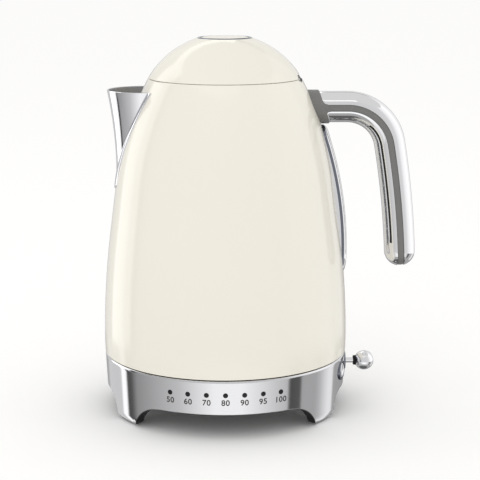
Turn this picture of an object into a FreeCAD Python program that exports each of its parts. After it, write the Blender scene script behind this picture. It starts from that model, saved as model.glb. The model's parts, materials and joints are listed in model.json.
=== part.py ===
import FreeCAD, Part
import math
import os
import Sketcher

# Electric kettle with a lift-off jug on a footed power base.
# Millimetres. Origin on the jug's axis at the worktop, +Z up, +X to the handle, -Y to the front.

Vector = FreeCAD.Vector
Z_AXIS = Vector(0, 0, 1)

SIZES = (
    # Power base
    ("base_radius", 86.8, "outer radius of the base ring at its top edge"),
    ("base_taper", 2.0, "how much the ring draws in towards the worktop"),
    ("base_height", 42.0, "top edge of the base ring"),
    ("base_rim_round", 1.2, "rounding of the ring's top edge"),
    ("foot_round", 4.5, "rounding of the feet's outer lower edge"),
    ("foot_seam_drop", 2.5, "joint between ring and feet below the top of the arches"),
    ("ring_wall", 2.4, "wall of the base ring above the ledge"),
    ("foot_wall", 7.0, "wall of the base ring at the feet"),
    ("ledge_rise", 1.1, "ledge that carries the bottom cover, above the arches"),
    ("cover_thickness", 2.2, "bottom cover"),
    ("arch_height", 17.9, "top of the arches between the feet"),
    ("front_arch_top_angle", 30.0, "half angle of the front arch where it is level"),
    ("front_arch_foot_angle", 50.5, "half angle of the front arch at the feet"),
    ("side_arch_top_angle", 17.0, "half angle of the side arch where it is level"),
    ("side_arch_foot_angle", 29.0, "half angle of the side arch at the feet"),
    ("arch_hollow_share", 0.78, "share of the arch's S-curve that is hollow"),
    ("pad_thickness", 1.0, "rubber pad under each foot"),
    ("pad_margin_angle", 1.0, "angle left bare at each end of a pad"),
    ("deck_drop", 1.4, "deck below the ring's top edge"),
    ("deck_thickness", 2.5, "deck plate"),
    ("deck_boss_rise", 3.0, "height of the raised middle"),
    ("screw_circle", 46.0, "radius at which the base screws stand"),
    ("screw_post_radius", 4.0, "posts under the deck for the base screws"),
    ("base_screw_radius", 1.5, "base screw shank"),
    ("base_screw_length", 12.0, "base screw shank length"),
    ("fit", 0.2, "gap between fitted plates"),
    ("pin_fit", 0.05, "radial gap of pins, screws and lenses in their holes"),
    ("run_gap", 0.3, "gap between pieces that move past each other"),
    # Connector between base and jug
    ("plug_radius", 15.0, "foot of the base plug"),
    ("plug_depth", 6.0, "base plug below the deck's top face"),
    ("tower_radius", 10.5, "tower of the base plug"),
    ("tower_rise", 17.0, "tower top above the deck"),
    ("tower_floor", 4.4, "contact wells' floor above the deck"),
    ("well_outer", 8.2, "outer wall of the ring well"),
    ("well_inner", 5.8, "inner wall of the ring well"),
    ("pin_well", 4.6, "well round the middle pin"),
    ("contact_pin", 2.0, "middle contact pin"),
    ("contact_wall", 0.55, "ring contact"),
    ("contact_drop", 2.0, "contacts' tops below the tower's top"),
    ("socket_wall", 2.8, "wall of the jug socket"),
    ("socket_flange", 22.0, "flange of the jug socket"),
    ("socket_flange_thickness", 2.2, "flange of the jug socket"),
    ("socket_cap", 1.7, "top of the jug socket"),
    ("sleeve_radius", 3.4, "sleeve that takes the contact pin"),
    ("sleeve_wall", 0.9, "sleeve wall"),
    ("blade_radius", 7.1, "ring blade that enters the ring well"),
    ("blade_wall", 0.7, "ring blade wall"),
    ("sleeve_drop", 11.0, "length of the sleeve and the ring blade"),
    # Indicators, lever and selector
    ("indicator_drop", 10.0, "row of indicator dots below the ring's top edge"),
    ("indicator_radius", 1.7, "indicator dot"),
    ("indicator_pitch_angle", 8.6, "angle from dot to dot"),
    ("lens_length", 8.3, "light pipe"),
    ("led_length", 5.5, "indicator lamp"),
    ("board_width", 23.0, "control board, inwards"),
    ("board_clear", 3.4, "gap between control board and ring"),
    ("board_span_angle", 72.0, "control board, round the base"),
    ("board_thickness", 1.6, "control board"),
    ("lever_drop", 10.5, "lever and selector below the ring's top edge"),
    ("lever_pivot_inset", 10.3, "lever pivot inside the ring's face"),
    ("lever_radius", 1.85, "lever rod"),
    ("lever_reach", 6.7, "lever rod beyond the ring's face"),
    ("lever_hub", 3.4, "hub round the lever pin"),
    ("lever_tail", 9.0, "tail behind the pivot"),
    ("lever_tail_height", 2.4, "tail height"),
    ("lever_pin_radius", 1.0, "lever pin"),
    ("lever_slot_half", 4.6, "half height of the lever's slot"),
    ("knob_radius", 7.0, "ball knob"),
    ("knob_offset", 8.0, "ball centre beyond the rod's end"),
    ("knob_neck", 3.0, "neck of the ball"),
    ("escutcheon_radius", 6.5, "collar round the lever"),
    ("escutcheon_depth", 4.5, "collar depth"),
    ("trim_proud", 1.0, "how far collar and bezel stand off the ring"),
    ("trim_bevel", 0.5, "bevel of collar, bezel and button"),
    ("bracket_ear", 2.0, "lever bracket ear"),
    ("bracket_reach", 3.5, "bracket each way from the pivot"),
    ("bracket_foot", 1.5, "bracket foot plate"),
    ("selector_azimuth", 343.0, "selector button round the base"),
    ("selector_radius", 5.4, "selector button"),
    ("selector_depth", 8.0, "selector button length"),
    ("selector_travel", 1.5, "selector button travel"),
    ("bezel_wall", 1.5, "selector bezel"),
    ("bezel_depth", 4.5, "selector bezel length"),
    ("switch_length", 11.0, "switch blocks"),
    ("switch_half_width", 5.0, "switch blocks"),
    ("gland_drop", 13.0, "cord gland below the ring's top edge"),
    ("gland_bore", 3.6, "cord gland bore radius"),
    ("gland_wall", 2.0, "cord gland wall"),
    ("gland_flange", 1.7, "cord gland flange thickness"),
    ("gland_lip", 1.6, "cord gland flange beyond its wall"),
    ("gland_inside", 3.5, "cord gland length inside the ring"),
    # Jug
    ("seam_gap", 0.8, "gap between ring and jug"),
    ("jug_wall", 1.2, "jug shell"),
    ("belly_overhang", 0.3, "jug's widest radius beyond the base ring"),
    ("belly_rise", 7.2, "widest radius above the jug's lower edge"),
    ("belly_tuck", 0.25, "how much the jug's lower edge draws in"),
    ("belly_curve", 600.0, "radius of the belly's long curve"),
    ("waist_draw", 5.0, "waist inside the widest radius"),
    ("waist_rise", 84.5, "waist above the jug's lower edge"),
    ("shoulder_draw", 9.8, "start of the shoulder inside the widest radius"),
    ("shoulder_rise", 121.2, "start of the shoulder above the jug's lower edge"),
    ("shoulder_curve", 212.0, "radius of the shoulder's curve"),
    ("seam_radius", 53.8, "jug radius at the lid seam"),
    ("seam_rise", 194.5, "lid seam above the jug's lower edge"),
    ("lid_gap", 0.6, "gap at the lid seam"),
    ("floor_gap", 0.4, "floor cover above the jug's lower edge"),
    ("floor_thickness", 2.2, "floor cover"),
    ("floor_rim", 6.8, "rim of the floor cover"),
    ("floor_rim_wall", 3.0, "rim of the floor cover"),
    ("stand_radius", 66.0, "ring that the jug stands on"),
    ("stand_width", 6.0, "ring that the jug stands on"),
    ("seal_height", 3.5, "heater seal"),
    ("heater_clear", 4.1, "heater plate above the jug socket"),
    ("heater_thickness", 1.2, "heater plate"),
    ("element_radius", 45.0, "heating element ring"),
    ("element_tube", 4.0, "heating element tube"),
    ("element_angle", 300.0, "part of a turn that the element makes"),
    ("terminal_radius", 2.2, "element terminals"),
    ("terminal_length", 10.0, "element terminals"),
    ("cutout_circle", 26.0, "thermal cut-outs from the axis"),
    ("cutout_radius", 7.0, "thermal cut-outs"),
    ("cutout_height", 4.8, "thermal cut-outs"),
    ("probe_circle", 28.0, "temperature probe from the axis"),
    ("probe_radius", 2.5, "temperature probe"),
    ("probe_length", 11.0, "temperature probe"),
    ("probe_above", 2.0, "temperature probe above the plate"),
    ("jug_screw_circle", 72.0, "jug screws from the axis"),
    ("jug_screw_radius", 1.75, "jug screws"),
    ("screw_head_ratio", 1.9, "screw heads against their shanks"),
    ("screw_head_height", 1.6, "screw heads"),
    ("mouth_draw", 7.8, "mouth of the jug inside the seam's radius"),
    ("collar_depth", 13.2, "mouth collar"),
    ("collar_drop", 1.1, "collar top below the seam"),
    ("collar_fit", 0.15, "collar inside the shell"),
    # Spout
    ("spout_sink", 0.3, "spout's tail inside the jug's side"),
    ("spout_radius", 19.7, "spout radius at its tail"),
    ("spout_root", 4.0, "spout's form below the start of the shoulder"),
    ("spout_straight", 8.0, "straight tail above the start of the shoulder"),
    ("spout_lip_radius", 25.6, "spout radius at its lip"),
    ("spout_lip_drop", 8.0, "spout lip below the lid seam"),
    ("spout_flare", 281.0, "radius of the flare"),
    ("spout_wall", 1.2, "spout wall"),
    ("flange_width", 2.4, "band round the spout"),
    ("flange_proud", 0.8, "thickness of the band"),
    ("pour_rise", 20.0, "pouring hole above the start of the shoulder"),
    ("pour_drop", 6.0, "pouring hole below the mouth collar"),
    ("filter_margin", 4.0, "filter frame round the pouring hole"),
    ("filter_half_width", 22.0, "filter frame"),
    ("filter_thickness", 2.0, "filter frame"),
    ("mesh_thickness", 0.8, "filter mesh"),
    ("mesh_slots", 9, "slots in the filter mesh"),
    ("mesh_slot_width", 2.0, "slot in the filter mesh"),
    # Handle
    ("handle_drop", 20.3, "handle axis below the lid seam"),
    ("handle_radius", 11.0, "handle section"),
    ("handle_sink", 8.3, "start of the handle's axis inside the jug's side"),
    ("bend_reach", 22.7, "where the handle starts to bend, from the jug's side"),
    ("bend_radius", 31.0, "radius of the handle's bend"),
    ("bend_angle", 80.0, "turn of the handle's bend"),
    ("grip_curve", 620.0, "radius of the grip's slow curve"),
    ("grip_end_angle", 87.25, "direction of the grip at its end"),
    ("stripe_width", 4.7, "grey stripe between the bright shells"),
    ("stripe_recess", 0.5, "stripe below the shells"),
    ("handle_shell_wall", 1.6, "bright shells"),
    ("root_swell", 0.9, "root block beyond the shells"),
    ("root_reach_top", 7.8, "root's slanted edge from the jug's side, at the top"),
    ("root_reach_bottom", 5.9, "root's slanted edge from the jug's side, at the bottom"),
    ("handle_screw_radius", 2.0, "handle screws"),
    ("handle_screw_spread", 5.0, "handle screws either side of the middle"),
    ("handle_screw_length", 9.4, "handle screws"),
    # Water gauge
    ("gauge_length", 107.3, "gauge frame"),
    ("gauge_clear", 0.8, "gauge frame below the handle's root"),
    ("gauge_half_width", 13.0, "gauge frame"),
    ("gauge_proud", 4.9, "gauge frame's outermost radius beyond the waist"),
    ("gauge_belly_rise", 18.0, "outermost radius above the frame's lower end"),
    ("gauge_low_draw", 2.1, "frame's lower end inside its outermost radius"),
    ("gauge_low_curve", 78.0, "curve of the frame's lower end"),
    ("gauge_high_draw", 15.6, "frame's upper end inside its outermost radius"),
    ("gauge_curve", 264.0, "curve of the frame"),
    ("window_margin", 13.0, "window inside the frame's ends"),
    ("window_half_width", 6.2, "window opening"),
    ("window_recess", 1.5, "window below the frame's face"),
    ("window_depth", 1.5, "window beyond the jug's wall"),
    ("gauge_seal_width", 2.8, "seal round the window"),
    # Lid
    ("dome_radius", 62.3, "lid's dome"),
    ("lid_wall", 2.0, "lid shell"),
    ("button_radius", 16.7, "lid button"),
    ("button_proud", 0.5, "lid button above the dome"),
    ("button_thickness", 4.0, "lid button"),
    ("button_round", 1.2, "edge of the lid button"),
    ("button_stem", 5.0, "stem under the lid button"),
    ("button_travel", 3.0, "lid button travel"),
    ("trim_ring_outer", 19.4, "bright ring round the lid button"),
    ("trim_ring_seat", 1.0, "step that the ring sits on"),
    ("liner_clear", 1.2, "lid liner inside the mouth"),
    ("liner_depth", 6.3, "lid liner below the seam"),
    ("liner_wall", 2.0, "lid liner"),
    ("flange_draw", 3.8, "liner's flange inside the seam's radius"),
    ("liner_flange_rise", 0.4, "flange above the seam"),
    ("liner_flange_thickness", 1.5, "flange of the lid liner"),
    ("lid_seal_margin", 0.8, "lid seal outside the liner"),
    ("lid_seal_width", 3.4, "lid seal"),
    ("lid_seal_height", 1.2, "lid seal"),
    ("lid_screw_circle", 30.0, "lid screws from the axis"),
    ("lid_screw_radius", 1.4, "lid screws"),
    ("lid_screw_length", 14.0, "lid screws"),
    ("lid_post_radius", 3.5, "posts inside the lid for its screws"),
    ("latch_half_width", 6.0, "lid latch"),
    ("latch_thickness", 1.5, "lid latch"),
    ("latch_inner", 8.0, "latch end behind the lid's middle"),
    ("latch_clear", 0.6, "latch nose inside the mouth"),
    ("latch_lift", 0.2, "latch above the liner's floor"),
    # Hinge
    ("hinge_inset", 2.8, "hinge axis inside the seam's radius"),
    ("knuckle_radius", 1.9, "hinge knuckles"),
    ("hinge_pin_radius", 1.0, "hinge pin"),
    ("lid_knuckle_half", 7.0, "half length of the lid's knuckle"),
    ("hinge_half", 13.5, "half length of the whole hinge"),
    ("hinge_notch_half", 16.5, "half length of the notch in the lid's edge"),
)

INDICATOR_COUNT = 7
QUARTER_TURN = 90.0
FRONT = -QUARTER_TURN
BACK = QUARTER_TURN


class Size:
    """A size: its value now, and the sheet expression that gives it."""

    def __init__(self, value, text):
        self.value = float(value)
        self.text = text

    def __add__(self, other):
        other = sized(other)
        return Size(self.value + other.value, f"({self.text} + {other.text})")

    def __sub__(self, other):
        other = sized(other)
        return Size(self.value - other.value, f"({self.text} - {other.text})")

    def __mul__(self, other):
        other = sized(other)
        return Size(self.value * other.value, f"({self.text} * {other.text})")

    def __truediv__(self, other):
        other = sized(other)
        return Size(self.value / other.value, f"({self.text} / {other.text})")

    def __neg__(self):
        return Size(-self.value, f"(-1 * {self.text})")

    def __radd__(self, other):
        return sized(other) + self

    def __rsub__(self, other):
        return sized(other) - self

    def __rmul__(self, other):
        return sized(other) * self


def sized(thing):
    """A plain number as a Size."""
    return thing if isinstance(thing, Size) else Size(thing, repr(float(thing)))


def root(size):
    return Size(math.sqrt(size.value), f"sqrt({size.text})")


def sine(degrees):
    return Size(math.sin(math.radians(degrees.value)), f"sin({degrees.text})")


def cosine(degrees):
    return Size(math.cos(math.radians(degrees.value)), f"cos({degrees.text})")


def tangent(degrees):
    return Size(math.tan(math.radians(degrees.value)), f"tan({degrees.text})")


class Sizes:
    """The sheet's cells by name."""


def fill_sheet(sheet):
    sizes = Sizes()
    for row, (alias, value, meaning) in enumerate(SIZES, 1):
        sheet.set(f"A{row}", meaning)
        sheet.set(f"B{row}", str(value))
        sheet.setAlias(f"B{row}", alias)
        setattr(sizes, alias, Size(value, f"Sizes.{alias}"))
    return sizes


doc = FreeCAD.newDocument("ElectricKettle")
S = fill_sheet(doc.addObject("Spreadsheet::Sheet", "Sizes"))
doc.recompute()
nodes = []


def keep(thing, label):
    """Name a finished piece, which is then written to its own file."""
    thing.Label = label
    nodes.append(thing)
    return thing


def drive(thing, path, size):
    thing.setExpression(path, sized(size).text)


# Sketches


def fix_point(sketch, edge, point, corner):
    for kind, axis, size in (("DistanceX", -2, corner[0]), ("DistanceY", -1, corner[1])):
        if size.value == 0:
            sketch.addConstraint(Sketcher.Constraint("PointOnObject", edge, point, axis))
            continue
        index = sketch.addConstraint(Sketcher.Constraint(kind, -1, 1, edge, point, size.value))
        drive(sketch, f"Constraints[{index}]", size)


def add_edge(sketch, start, finish):
    """A line or, where finish has a radius, an arc; counter-clockwise if the radius is positive."""
    first = Vector(start[0].value, start[1].value, 0)
    last = Vector(finish[0].value, finish[1].value, 0)
    if len(finish) == 2:
        return sketch.addGeometry(Part.LineSegment(first, last)), 1, 2
    radius = finish[2]
    half = (last - first) * 0.5
    rise = math.sqrt(radius.value ** 2 - half.Length ** 2)
    lean = math.copysign(rise, radius.value) / half.Length
    centre = first + half + Vector(-half.y, half.x, 0) * lean
    angles = [math.atan2(end.y - centre.y, end.x - centre.x) for end in (first, last)]
    turn_left = radius.value > 0
    if not turn_left:
        angles.reverse()
    circle = Part.Circle(centre, Z_AXIS, abs(radius.value))
    edge = sketch.addGeometry(Part.ArcOfCircle(circle, *angles))
    index = sketch.addConstraint(Sketcher.Constraint("Radius", edge, abs(radius.value)))
    drive(sketch, f"Constraints[{index}]", radius if turn_left else -radius)
    return (edge, 1, 2) if turn_left else (edge, 2, 1)


def draw(sketch, corners, closed=True):
    """An outline through corners; a corner's third item is the radius of the arc that leads to it."""
    corners = [tuple(sized(item) for item in corner) for corner in corners]
    finishes = corners[1:] + corners[:1] if closed else corners[1:]
    edges = [add_edge(sketch, start, finish) for start, finish in zip(corners, finishes)]
    followers = edges[1:] + edges[:1] if closed else edges[1:]
    for (edge, _, last), (follower, first, _) in zip(edges, followers):
        sketch.addConstraint(Sketcher.Constraint("Coincident", edge, last, follower, first))
    for (edge, first, _), corner in zip(edges, corners):
        fix_point(sketch, edge, first, corner)
    if not closed:
        fix_point(sketch, edges[-1][0], edges[-1][2], corners[-1])
    return sketch


def sketch_in(body, name, plane, corners, lift=None):
    sketch = body.newObject("Sketcher::SketchObject", name)
    support = [part for part in body.Origin.OriginFeatures if part.Role == f"{plane}_Plane"][0]
    sketch.AttachmentSupport = (support, "")
    sketch.MapMode = "FlatFace"
    if lift is not None:
        drive(sketch, "AttachmentOffset.Base.z", lift)
    return draw(sketch, corners)


def loose_sketch(name, rotation):
    sketch = doc.addObject("Sketcher::SketchObject", name)
    sketch.Placement = FreeCAD.Placement(Vector(), rotation)
    return sketch


# Solids


def turn_about(body, azimuth):
    """Turn a body about the jug's axis."""
    body.Placement = FreeCAD.Placement(Vector(), FreeCAD.Rotation(Z_AXIS, 1))
    drive(body, "Placement.Rotation.Angle", azimuth)


def turned(name, corners, sweep=None, azimuth=None, offset=None):
    """A solid turned about an upright axis, whole or through an angle centred on azimuth."""
    body = doc.addObject("PartDesign::Body", name)
    sketch = sketch_in(body, f"{name}_profile", "XZ", corners)
    turn = body.newObject("PartDesign::Revolution", f"{name}_turn")
    turn.Profile = sketch
    turn.ReferenceAxis = (sketch, ["V_Axis"])
    turn.Angle = 360
    if sweep is not None:
        turn.Midplane = True
        drive(turn, "Angle", sweep)
    if azimuth is not None:
        turn_about(body, azimuth)
    if offset is not None:
        drive(body, "Placement.Base.x", offset)
    return body


def spun(name, corners, azimuth, height):
    """A solid spun about a level axis that points outwards at azimuth; corners are (reach, radius)."""
    body = doc.addObject("PartDesign::Body", name)
    sketch = sketch_in(body, f"{name}_profile", "XZ", corners)
    turn = body.newObject("PartDesign::Revolution", f"{name}_turn")
    turn.Profile = sketch
    turn.ReferenceAxis = (sketch, ["H_Axis"])
    turn.Angle = 360
    turn_about(body, azimuth)
    drive(body, "Placement.Base.z", height)
    return body


def rod(reach_in, reach_out, radius, bore=None):
    """Corners of a plain or bored rod for spun."""
    low = 0 if bore is None else bore
    return [(reach_in, low), (reach_out, low), (reach_out, radius), (reach_in, radius)]


def ring(inner, outer, low, high):
    """Corners of a ring or disc for turned."""
    return [(inner, low), (outer, low), (outer, high), (inner, high)]


def prism(name, plane, corners, length, lift=None):
    """An outline padded from its plane by length, or evenly both ways where lift isn't given."""
    body = doc.addObject("PartDesign::Body", name)
    sketch = sketch_in(body, f"{name}_outline", plane, corners, lift)
    pad = body.newObject("PartDesign::Pad", f"{name}_pad")
    pad.Profile = sketch
    pad.Midplane = lift is None
    drive(pad, "Length", length)
    return body


def slot(low, high, half_width):
    """Corners of an upright slot with round ends, across Y."""
    return [
        (half_width, low + half_width, half_width),
        (half_width, high - half_width),
        (0, high, half_width),
        (-half_width, high - half_width, half_width),
        (-half_width, low + half_width),
        (0, low, half_width),
    ]


def place(thing, x, y, z):
    for axis, size in zip("xyz", (x, y, z)):
        drive(thing, f"Placement.Base.{axis}", size)
    return thing


def cylinder(name, radius, low, high, x=0, y=0):
    """An upright cylinder."""
    thing = doc.addObject("Part::Cylinder", name)
    drive(thing, "Radius", radius)
    drive(thing, "Height", sized(high) - sized(low))
    return place(thing, x, y, low)


def cross_rod(name, radius, start, finish, x, z):
    """A cylinder along Y."""
    thing = doc.addObject("Part::Cylinder", name)
    thing.Placement = FreeCAD.Placement(Vector(), FreeCAD.Rotation(Vector(1, 0, 0), -90))
    drive(thing, "Radius", radius)
    drive(thing, "Height", sized(finish) - sized(start))
    return place(thing, x, start, z)


def block(name, low, high):
    """A box between two corners."""
    thing = doc.addObject("Part::Box", name)
    for side, first, last in zip(("Length", "Width", "Height"), low, high):
        drive(thing, side, sized(last) - sized(first))
    return place(thing, *low)


def ball(name, radius, x, y, z):
    thing = doc.addObject("Part::Sphere", name)
    drive(thing, "Radius", radius)
    return place(thing, x, y, z)


def joined(name, things):
    fuse = doc.addObject("Part::MultiFuse", name)
    fuse.Shapes = things
    return fuse


def shared(name, things):
    common = doc.addObject("Part::MultiCommon", name)
    common.Shapes = things
    return common


def cut(name, base, tools):
    result = doc.addObject("Part::Cut", name)
    result.Base = base
    result.Tool = tools[0] if len(tools) == 1 else joined(f"{name}_tools", tools)
    return result


def group(name, things):
    compound = doc.addObject("Part::Compound", name)
    compound.Links = things
    return compound


def swept(name, section, spine, edges):
    sweep = doc.addObject("Part::Sweep", name)
    sweep.Sections = [section]
    sweep.Spine = (spine, [f"Edge{index + 1}" for index in range(edges)])
    sweep.Solid = True
    return sweep


def screw(name, radius, low, high, x=0, y=0):
    """A screw that points up, its head below low."""
    shank = cylinder(f"{name}_shank", radius, low, high, x, y)
    head = cylinder(f"{name}_head", radius * S.screw_head_ratio, low - S.screw_head_height, low, x, y)
    return joined(name, [shank, head])


def round_of(name, pattern, make, radius, low, high):
    """Cylinders or screws from low to high; pattern is (count, distance from the axis, first azimuth)."""
    count, circle, first = pattern
    pieces = []
    for index in range(count):
        angle = sized(first + index * 360.0 / count)
        x = circle * cosine(angle)
        y = circle * sine(angle)
        pieces.append(make(f"{name}_{index}", radius, low, high, x, y))
    return pieces


# Heights and radii that several pieces share

base_foot_radius = S.base_radius - S.base_taper
ring_bore = base_foot_radius - S.ring_wall
foot_bore = base_foot_radius - S.foot_wall
beyond_ring = S.base_radius * 1.2
foot_top = S.arch_height - S.foot_seam_drop
cover_ledge = S.arch_height + S.ledge_rise
cover_top = cover_ledge + S.cover_thickness
deck_top = S.base_height - S.deck_drop
deck_low = deck_top - S.deck_thickness
boss_top = deck_top + S.deck_boss_rise
indicator_height = S.base_height - S.indicator_drop
lever_height = S.base_height - S.lever_drop
gland_height = S.base_height - S.gland_drop
gland_radius = S.gland_bore + S.gland_wall
bezel_bore = S.selector_radius + S.run_gap
bezel_radius = bezel_bore + S.bezel_wall
tower_top = deck_top + S.tower_rise
socket_cavity_top = tower_top + S.run_gap * 2

jug_bottom = S.base_height + S.seam_gap
belly_radius = S.base_radius + S.belly_overhang
belly_height = jug_bottom + S.belly_rise
waist_radius = belly_radius - S.waist_draw
waist_height = jug_bottom + S.waist_rise
shoulder_radius = belly_radius - S.shoulder_draw
shoulder_height = jug_bottom + S.shoulder_rise
seam_height = jug_bottom + S.seam_rise
jug_top = seam_height - S.lid_gap / 2
floor_low = jug_bottom + S.floor_gap
floor_top = floor_low + S.floor_thickness
floor_radius = belly_radius - S.belly_tuck - S.jug_wall - S.fit
heater_height = socket_cavity_top + S.socket_cap + S.heater_clear
heater_top = heater_height + S.heater_thickness
collar_bore = S.seam_radius - S.mouth_draw
collar_top = seam_height - S.collar_drop
collar_low = collar_top - S.collar_depth
spout_axis = shoulder_radius - S.spout_radius - S.spout_sink
spout_low = shoulder_height - S.spout_root
spout_flare_start = shoulder_height + S.spout_straight
spout_lip_height = seam_height - S.spout_lip_drop
pour_low = shoulder_height + S.pour_rise
pour_high = collar_low - S.pour_drop

handle_height = seam_height - S.handle_drop
gauge_high = handle_height - S.handle_radius - S.root_swell - S.gauge_clear
gauge_low = gauge_high - S.gauge_length
gauge_belly_radius = waist_radius + S.gauge_proud
gauge_belly_height = gauge_low + S.gauge_belly_rise
gauge_low_radius = gauge_belly_radius - S.gauge_low_draw
gauge_high_radius = gauge_belly_radius - S.gauge_high_draw

lid_edge = seam_height + S.lid_gap / 2
liner_radius = collar_bore - S.liner_clear
liner_low = seam_height - S.liner_depth
liner_top = liner_low + S.liner_wall
liner_flange = S.seam_radius - S.flange_draw
hinge_x = S.seam_radius - S.hinge_inset
hinge_z = seam_height
base_screw_pattern = (4, S.screw_circle, QUARTER_TURN / 2)
jug_screw_pattern = (3, S.jug_screw_circle, BACK)
lid_screw_pattern = (3, S.lid_screw_circle, 0.0)
cutout_pattern = (2, S.cutout_circle, 0.0)
dome_centre = seam_height - root(S.dome_radius * S.dome_radius - S.seam_radius * S.seam_radius)


def ring_face(height):
    """Outer radius of the base ring at a height."""
    return base_foot_radius + (S.base_radius - base_foot_radius) * height / S.base_height


def shoulder_at(height):
    """Outer radius of the jug at a height on its shoulder."""
    run = S.seam_radius - shoulder_radius
    rise = seam_height - shoulder_height
    chord = root(run * run + rise * rise)
    reach = root(S.shoulder_curve * S.shoulder_curve - chord * chord / 4)
    centre_x = (S.seam_radius + shoulder_radius) / 2 - reach * rise / chord
    centre_z = (seam_height + shoulder_height) / 2 + reach * run / chord
    above = height - centre_z
    return centre_x + root(S.shoulder_curve * S.shoulder_curve - above * above)


def dome_radius_at(height, inset=0):
    """Radius of the lid's dome, or of its inside, at a height."""
    sphere = S.dome_radius - inset
    above = height - dome_centre
    return root(sphere * sphere - above * above)


def dome_height_at(radius, inset=0):
    sphere = S.dome_radius - inset
    return dome_centre + root(sphere * sphere - radius * radius)


def jug_side(inset):
    """The jug's outline from its lower edge up to the seam, drawn in by inset."""
    return [
        (belly_radius - S.belly_tuck - inset, jug_bottom),
        (belly_radius - inset, belly_height),
        (waist_radius - inset, waist_height, S.belly_curve),
        (shoulder_radius - inset, shoulder_height),
        (shoulder_at(jug_top) - inset, jug_top, S.shoulder_curve),
    ]


def jug_form(name, inset):
    """The jug's outer form as a solid, drawn in by inset."""
    return turned(name, [(0, jug_bottom), *jug_side(inset), (0, jug_top)])


# Power base


def arch(name, top_angle, foot_angle, azimuth):
    """A radial cutter for one arch: the same S-curve near the axis and outside the ring."""
    sections = []
    for place_name, reach in (("inner", foot_bore / 3), ("outer", beyond_ring)):
        crown = reach * tangent(top_angle)
        foot = reach * tangent(foot_angle)
        turn_x = crown + (foot - crown) * S.arch_hollow_share
        drop = S.arch_height - S.pad_thickness
        turn_z = S.arch_height - drop * S.arch_hollow_share
        slant = ((foot - crown) * (foot - crown) + drop * drop) / (drop * 2)
        hollow = slant * S.arch_hollow_share
        bulge = slant * (1 - S.arch_hollow_share)
        below = -S.arch_height
        tilt = FreeCAD.Rotation(Z_AXIS, azimuth - FRONT) * FreeCAD.Rotation(Vector(1, 0, 0), 90)
        sketch = loose_sketch(f"{name}_{place_name}", tilt)
        drive(sketch, "Placement.Base.x", reach * round(math.cos(math.radians(azimuth))))
        drive(sketch, "Placement.Base.y", reach * round(math.sin(math.radians(azimuth))))
        draw(sketch, [
            (-foot, below),
            (foot, below),
            (foot, S.pad_thickness),
            (turn_x, turn_z, -bulge),
            (crown, S.arch_height, hollow),
            (-crown, S.arch_height),
            (-turn_x, turn_z, hollow),
            (-foot, S.pad_thickness, -bulge),
        ])
        sections.append(sketch)
    loft = doc.addObject("Part::Loft", name)
    loft.Sections = sections
    loft.Solid = True
    loft.Ruled = True
    return loft


def indicator_azimuths():
    middle = (INDICATOR_COUNT - 1) / 2
    return [FRONT + (index - middle) * S.indicator_pitch_angle for index in range(INDICATOR_COUNT)]


def make_base_ring():
    upright = S.pad_thickness + S.foot_round
    feet_blank = turned("base_feet_blank", [
        (foot_bore, S.pad_thickness),
        (base_foot_radius - S.foot_round, S.pad_thickness),
        (ring_face(upright), upright, S.foot_round + S.pin_fit * 2),
        (ring_face(foot_top), foot_top),
        (foot_bore, foot_top),
    ])
    ring_blank = turned("base_ring_blank", [
        (foot_bore, foot_top),
        (ring_face(foot_top), foot_top),
        (ring_face(S.base_height - S.base_rim_round), S.base_height - S.base_rim_round),
        (S.base_radius - S.base_rim_round, S.base_height, S.base_rim_round + S.pin_fit),
        (ring_bore, S.base_height),
        (ring_bore, cover_ledge),
        (foot_bore, cover_ledge),
    ])
    arches = group("arches", [
        arch("front_arch", S.front_arch_top_angle, S.front_arch_foot_angle, FRONT),
        arch("back_arch", S.front_arch_top_angle, S.front_arch_foot_angle, BACK),
        arch("left_arch", S.side_arch_top_angle, S.side_arch_foot_angle, 180.0),
        arch("right_arch", S.side_arch_top_angle, S.side_arch_foot_angle, 0.0),
    ])
    keep(cut("base_feet_cut", feet_blank, [arches]), "base_feet")
    holes = [
        spun(f"indicator_hole_{index}", rod(foot_bore, beyond_ring, S.indicator_radius + S.pin_fit),
             azimuth, indicator_height)
        for index, azimuth in enumerate(indicator_azimuths())
    ]
    holes.append(spun("lever_hole", rod(foot_bore, beyond_ring, S.escutcheon_radius + S.pin_fit),
                      0, lever_height))
    holes.append(spun("selector_hole", rod(foot_bore, beyond_ring, bezel_radius + S.pin_fit),
                      S.selector_azimuth, lever_height))
    holes.append(spun("gland_hole", rod(foot_bore, beyond_ring, gland_radius + S.pin_fit),
                      BACK, gland_height))
    keep(cut("base_ring_cut", ring_blank, [arches, *holes]), "base_ring")


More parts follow.
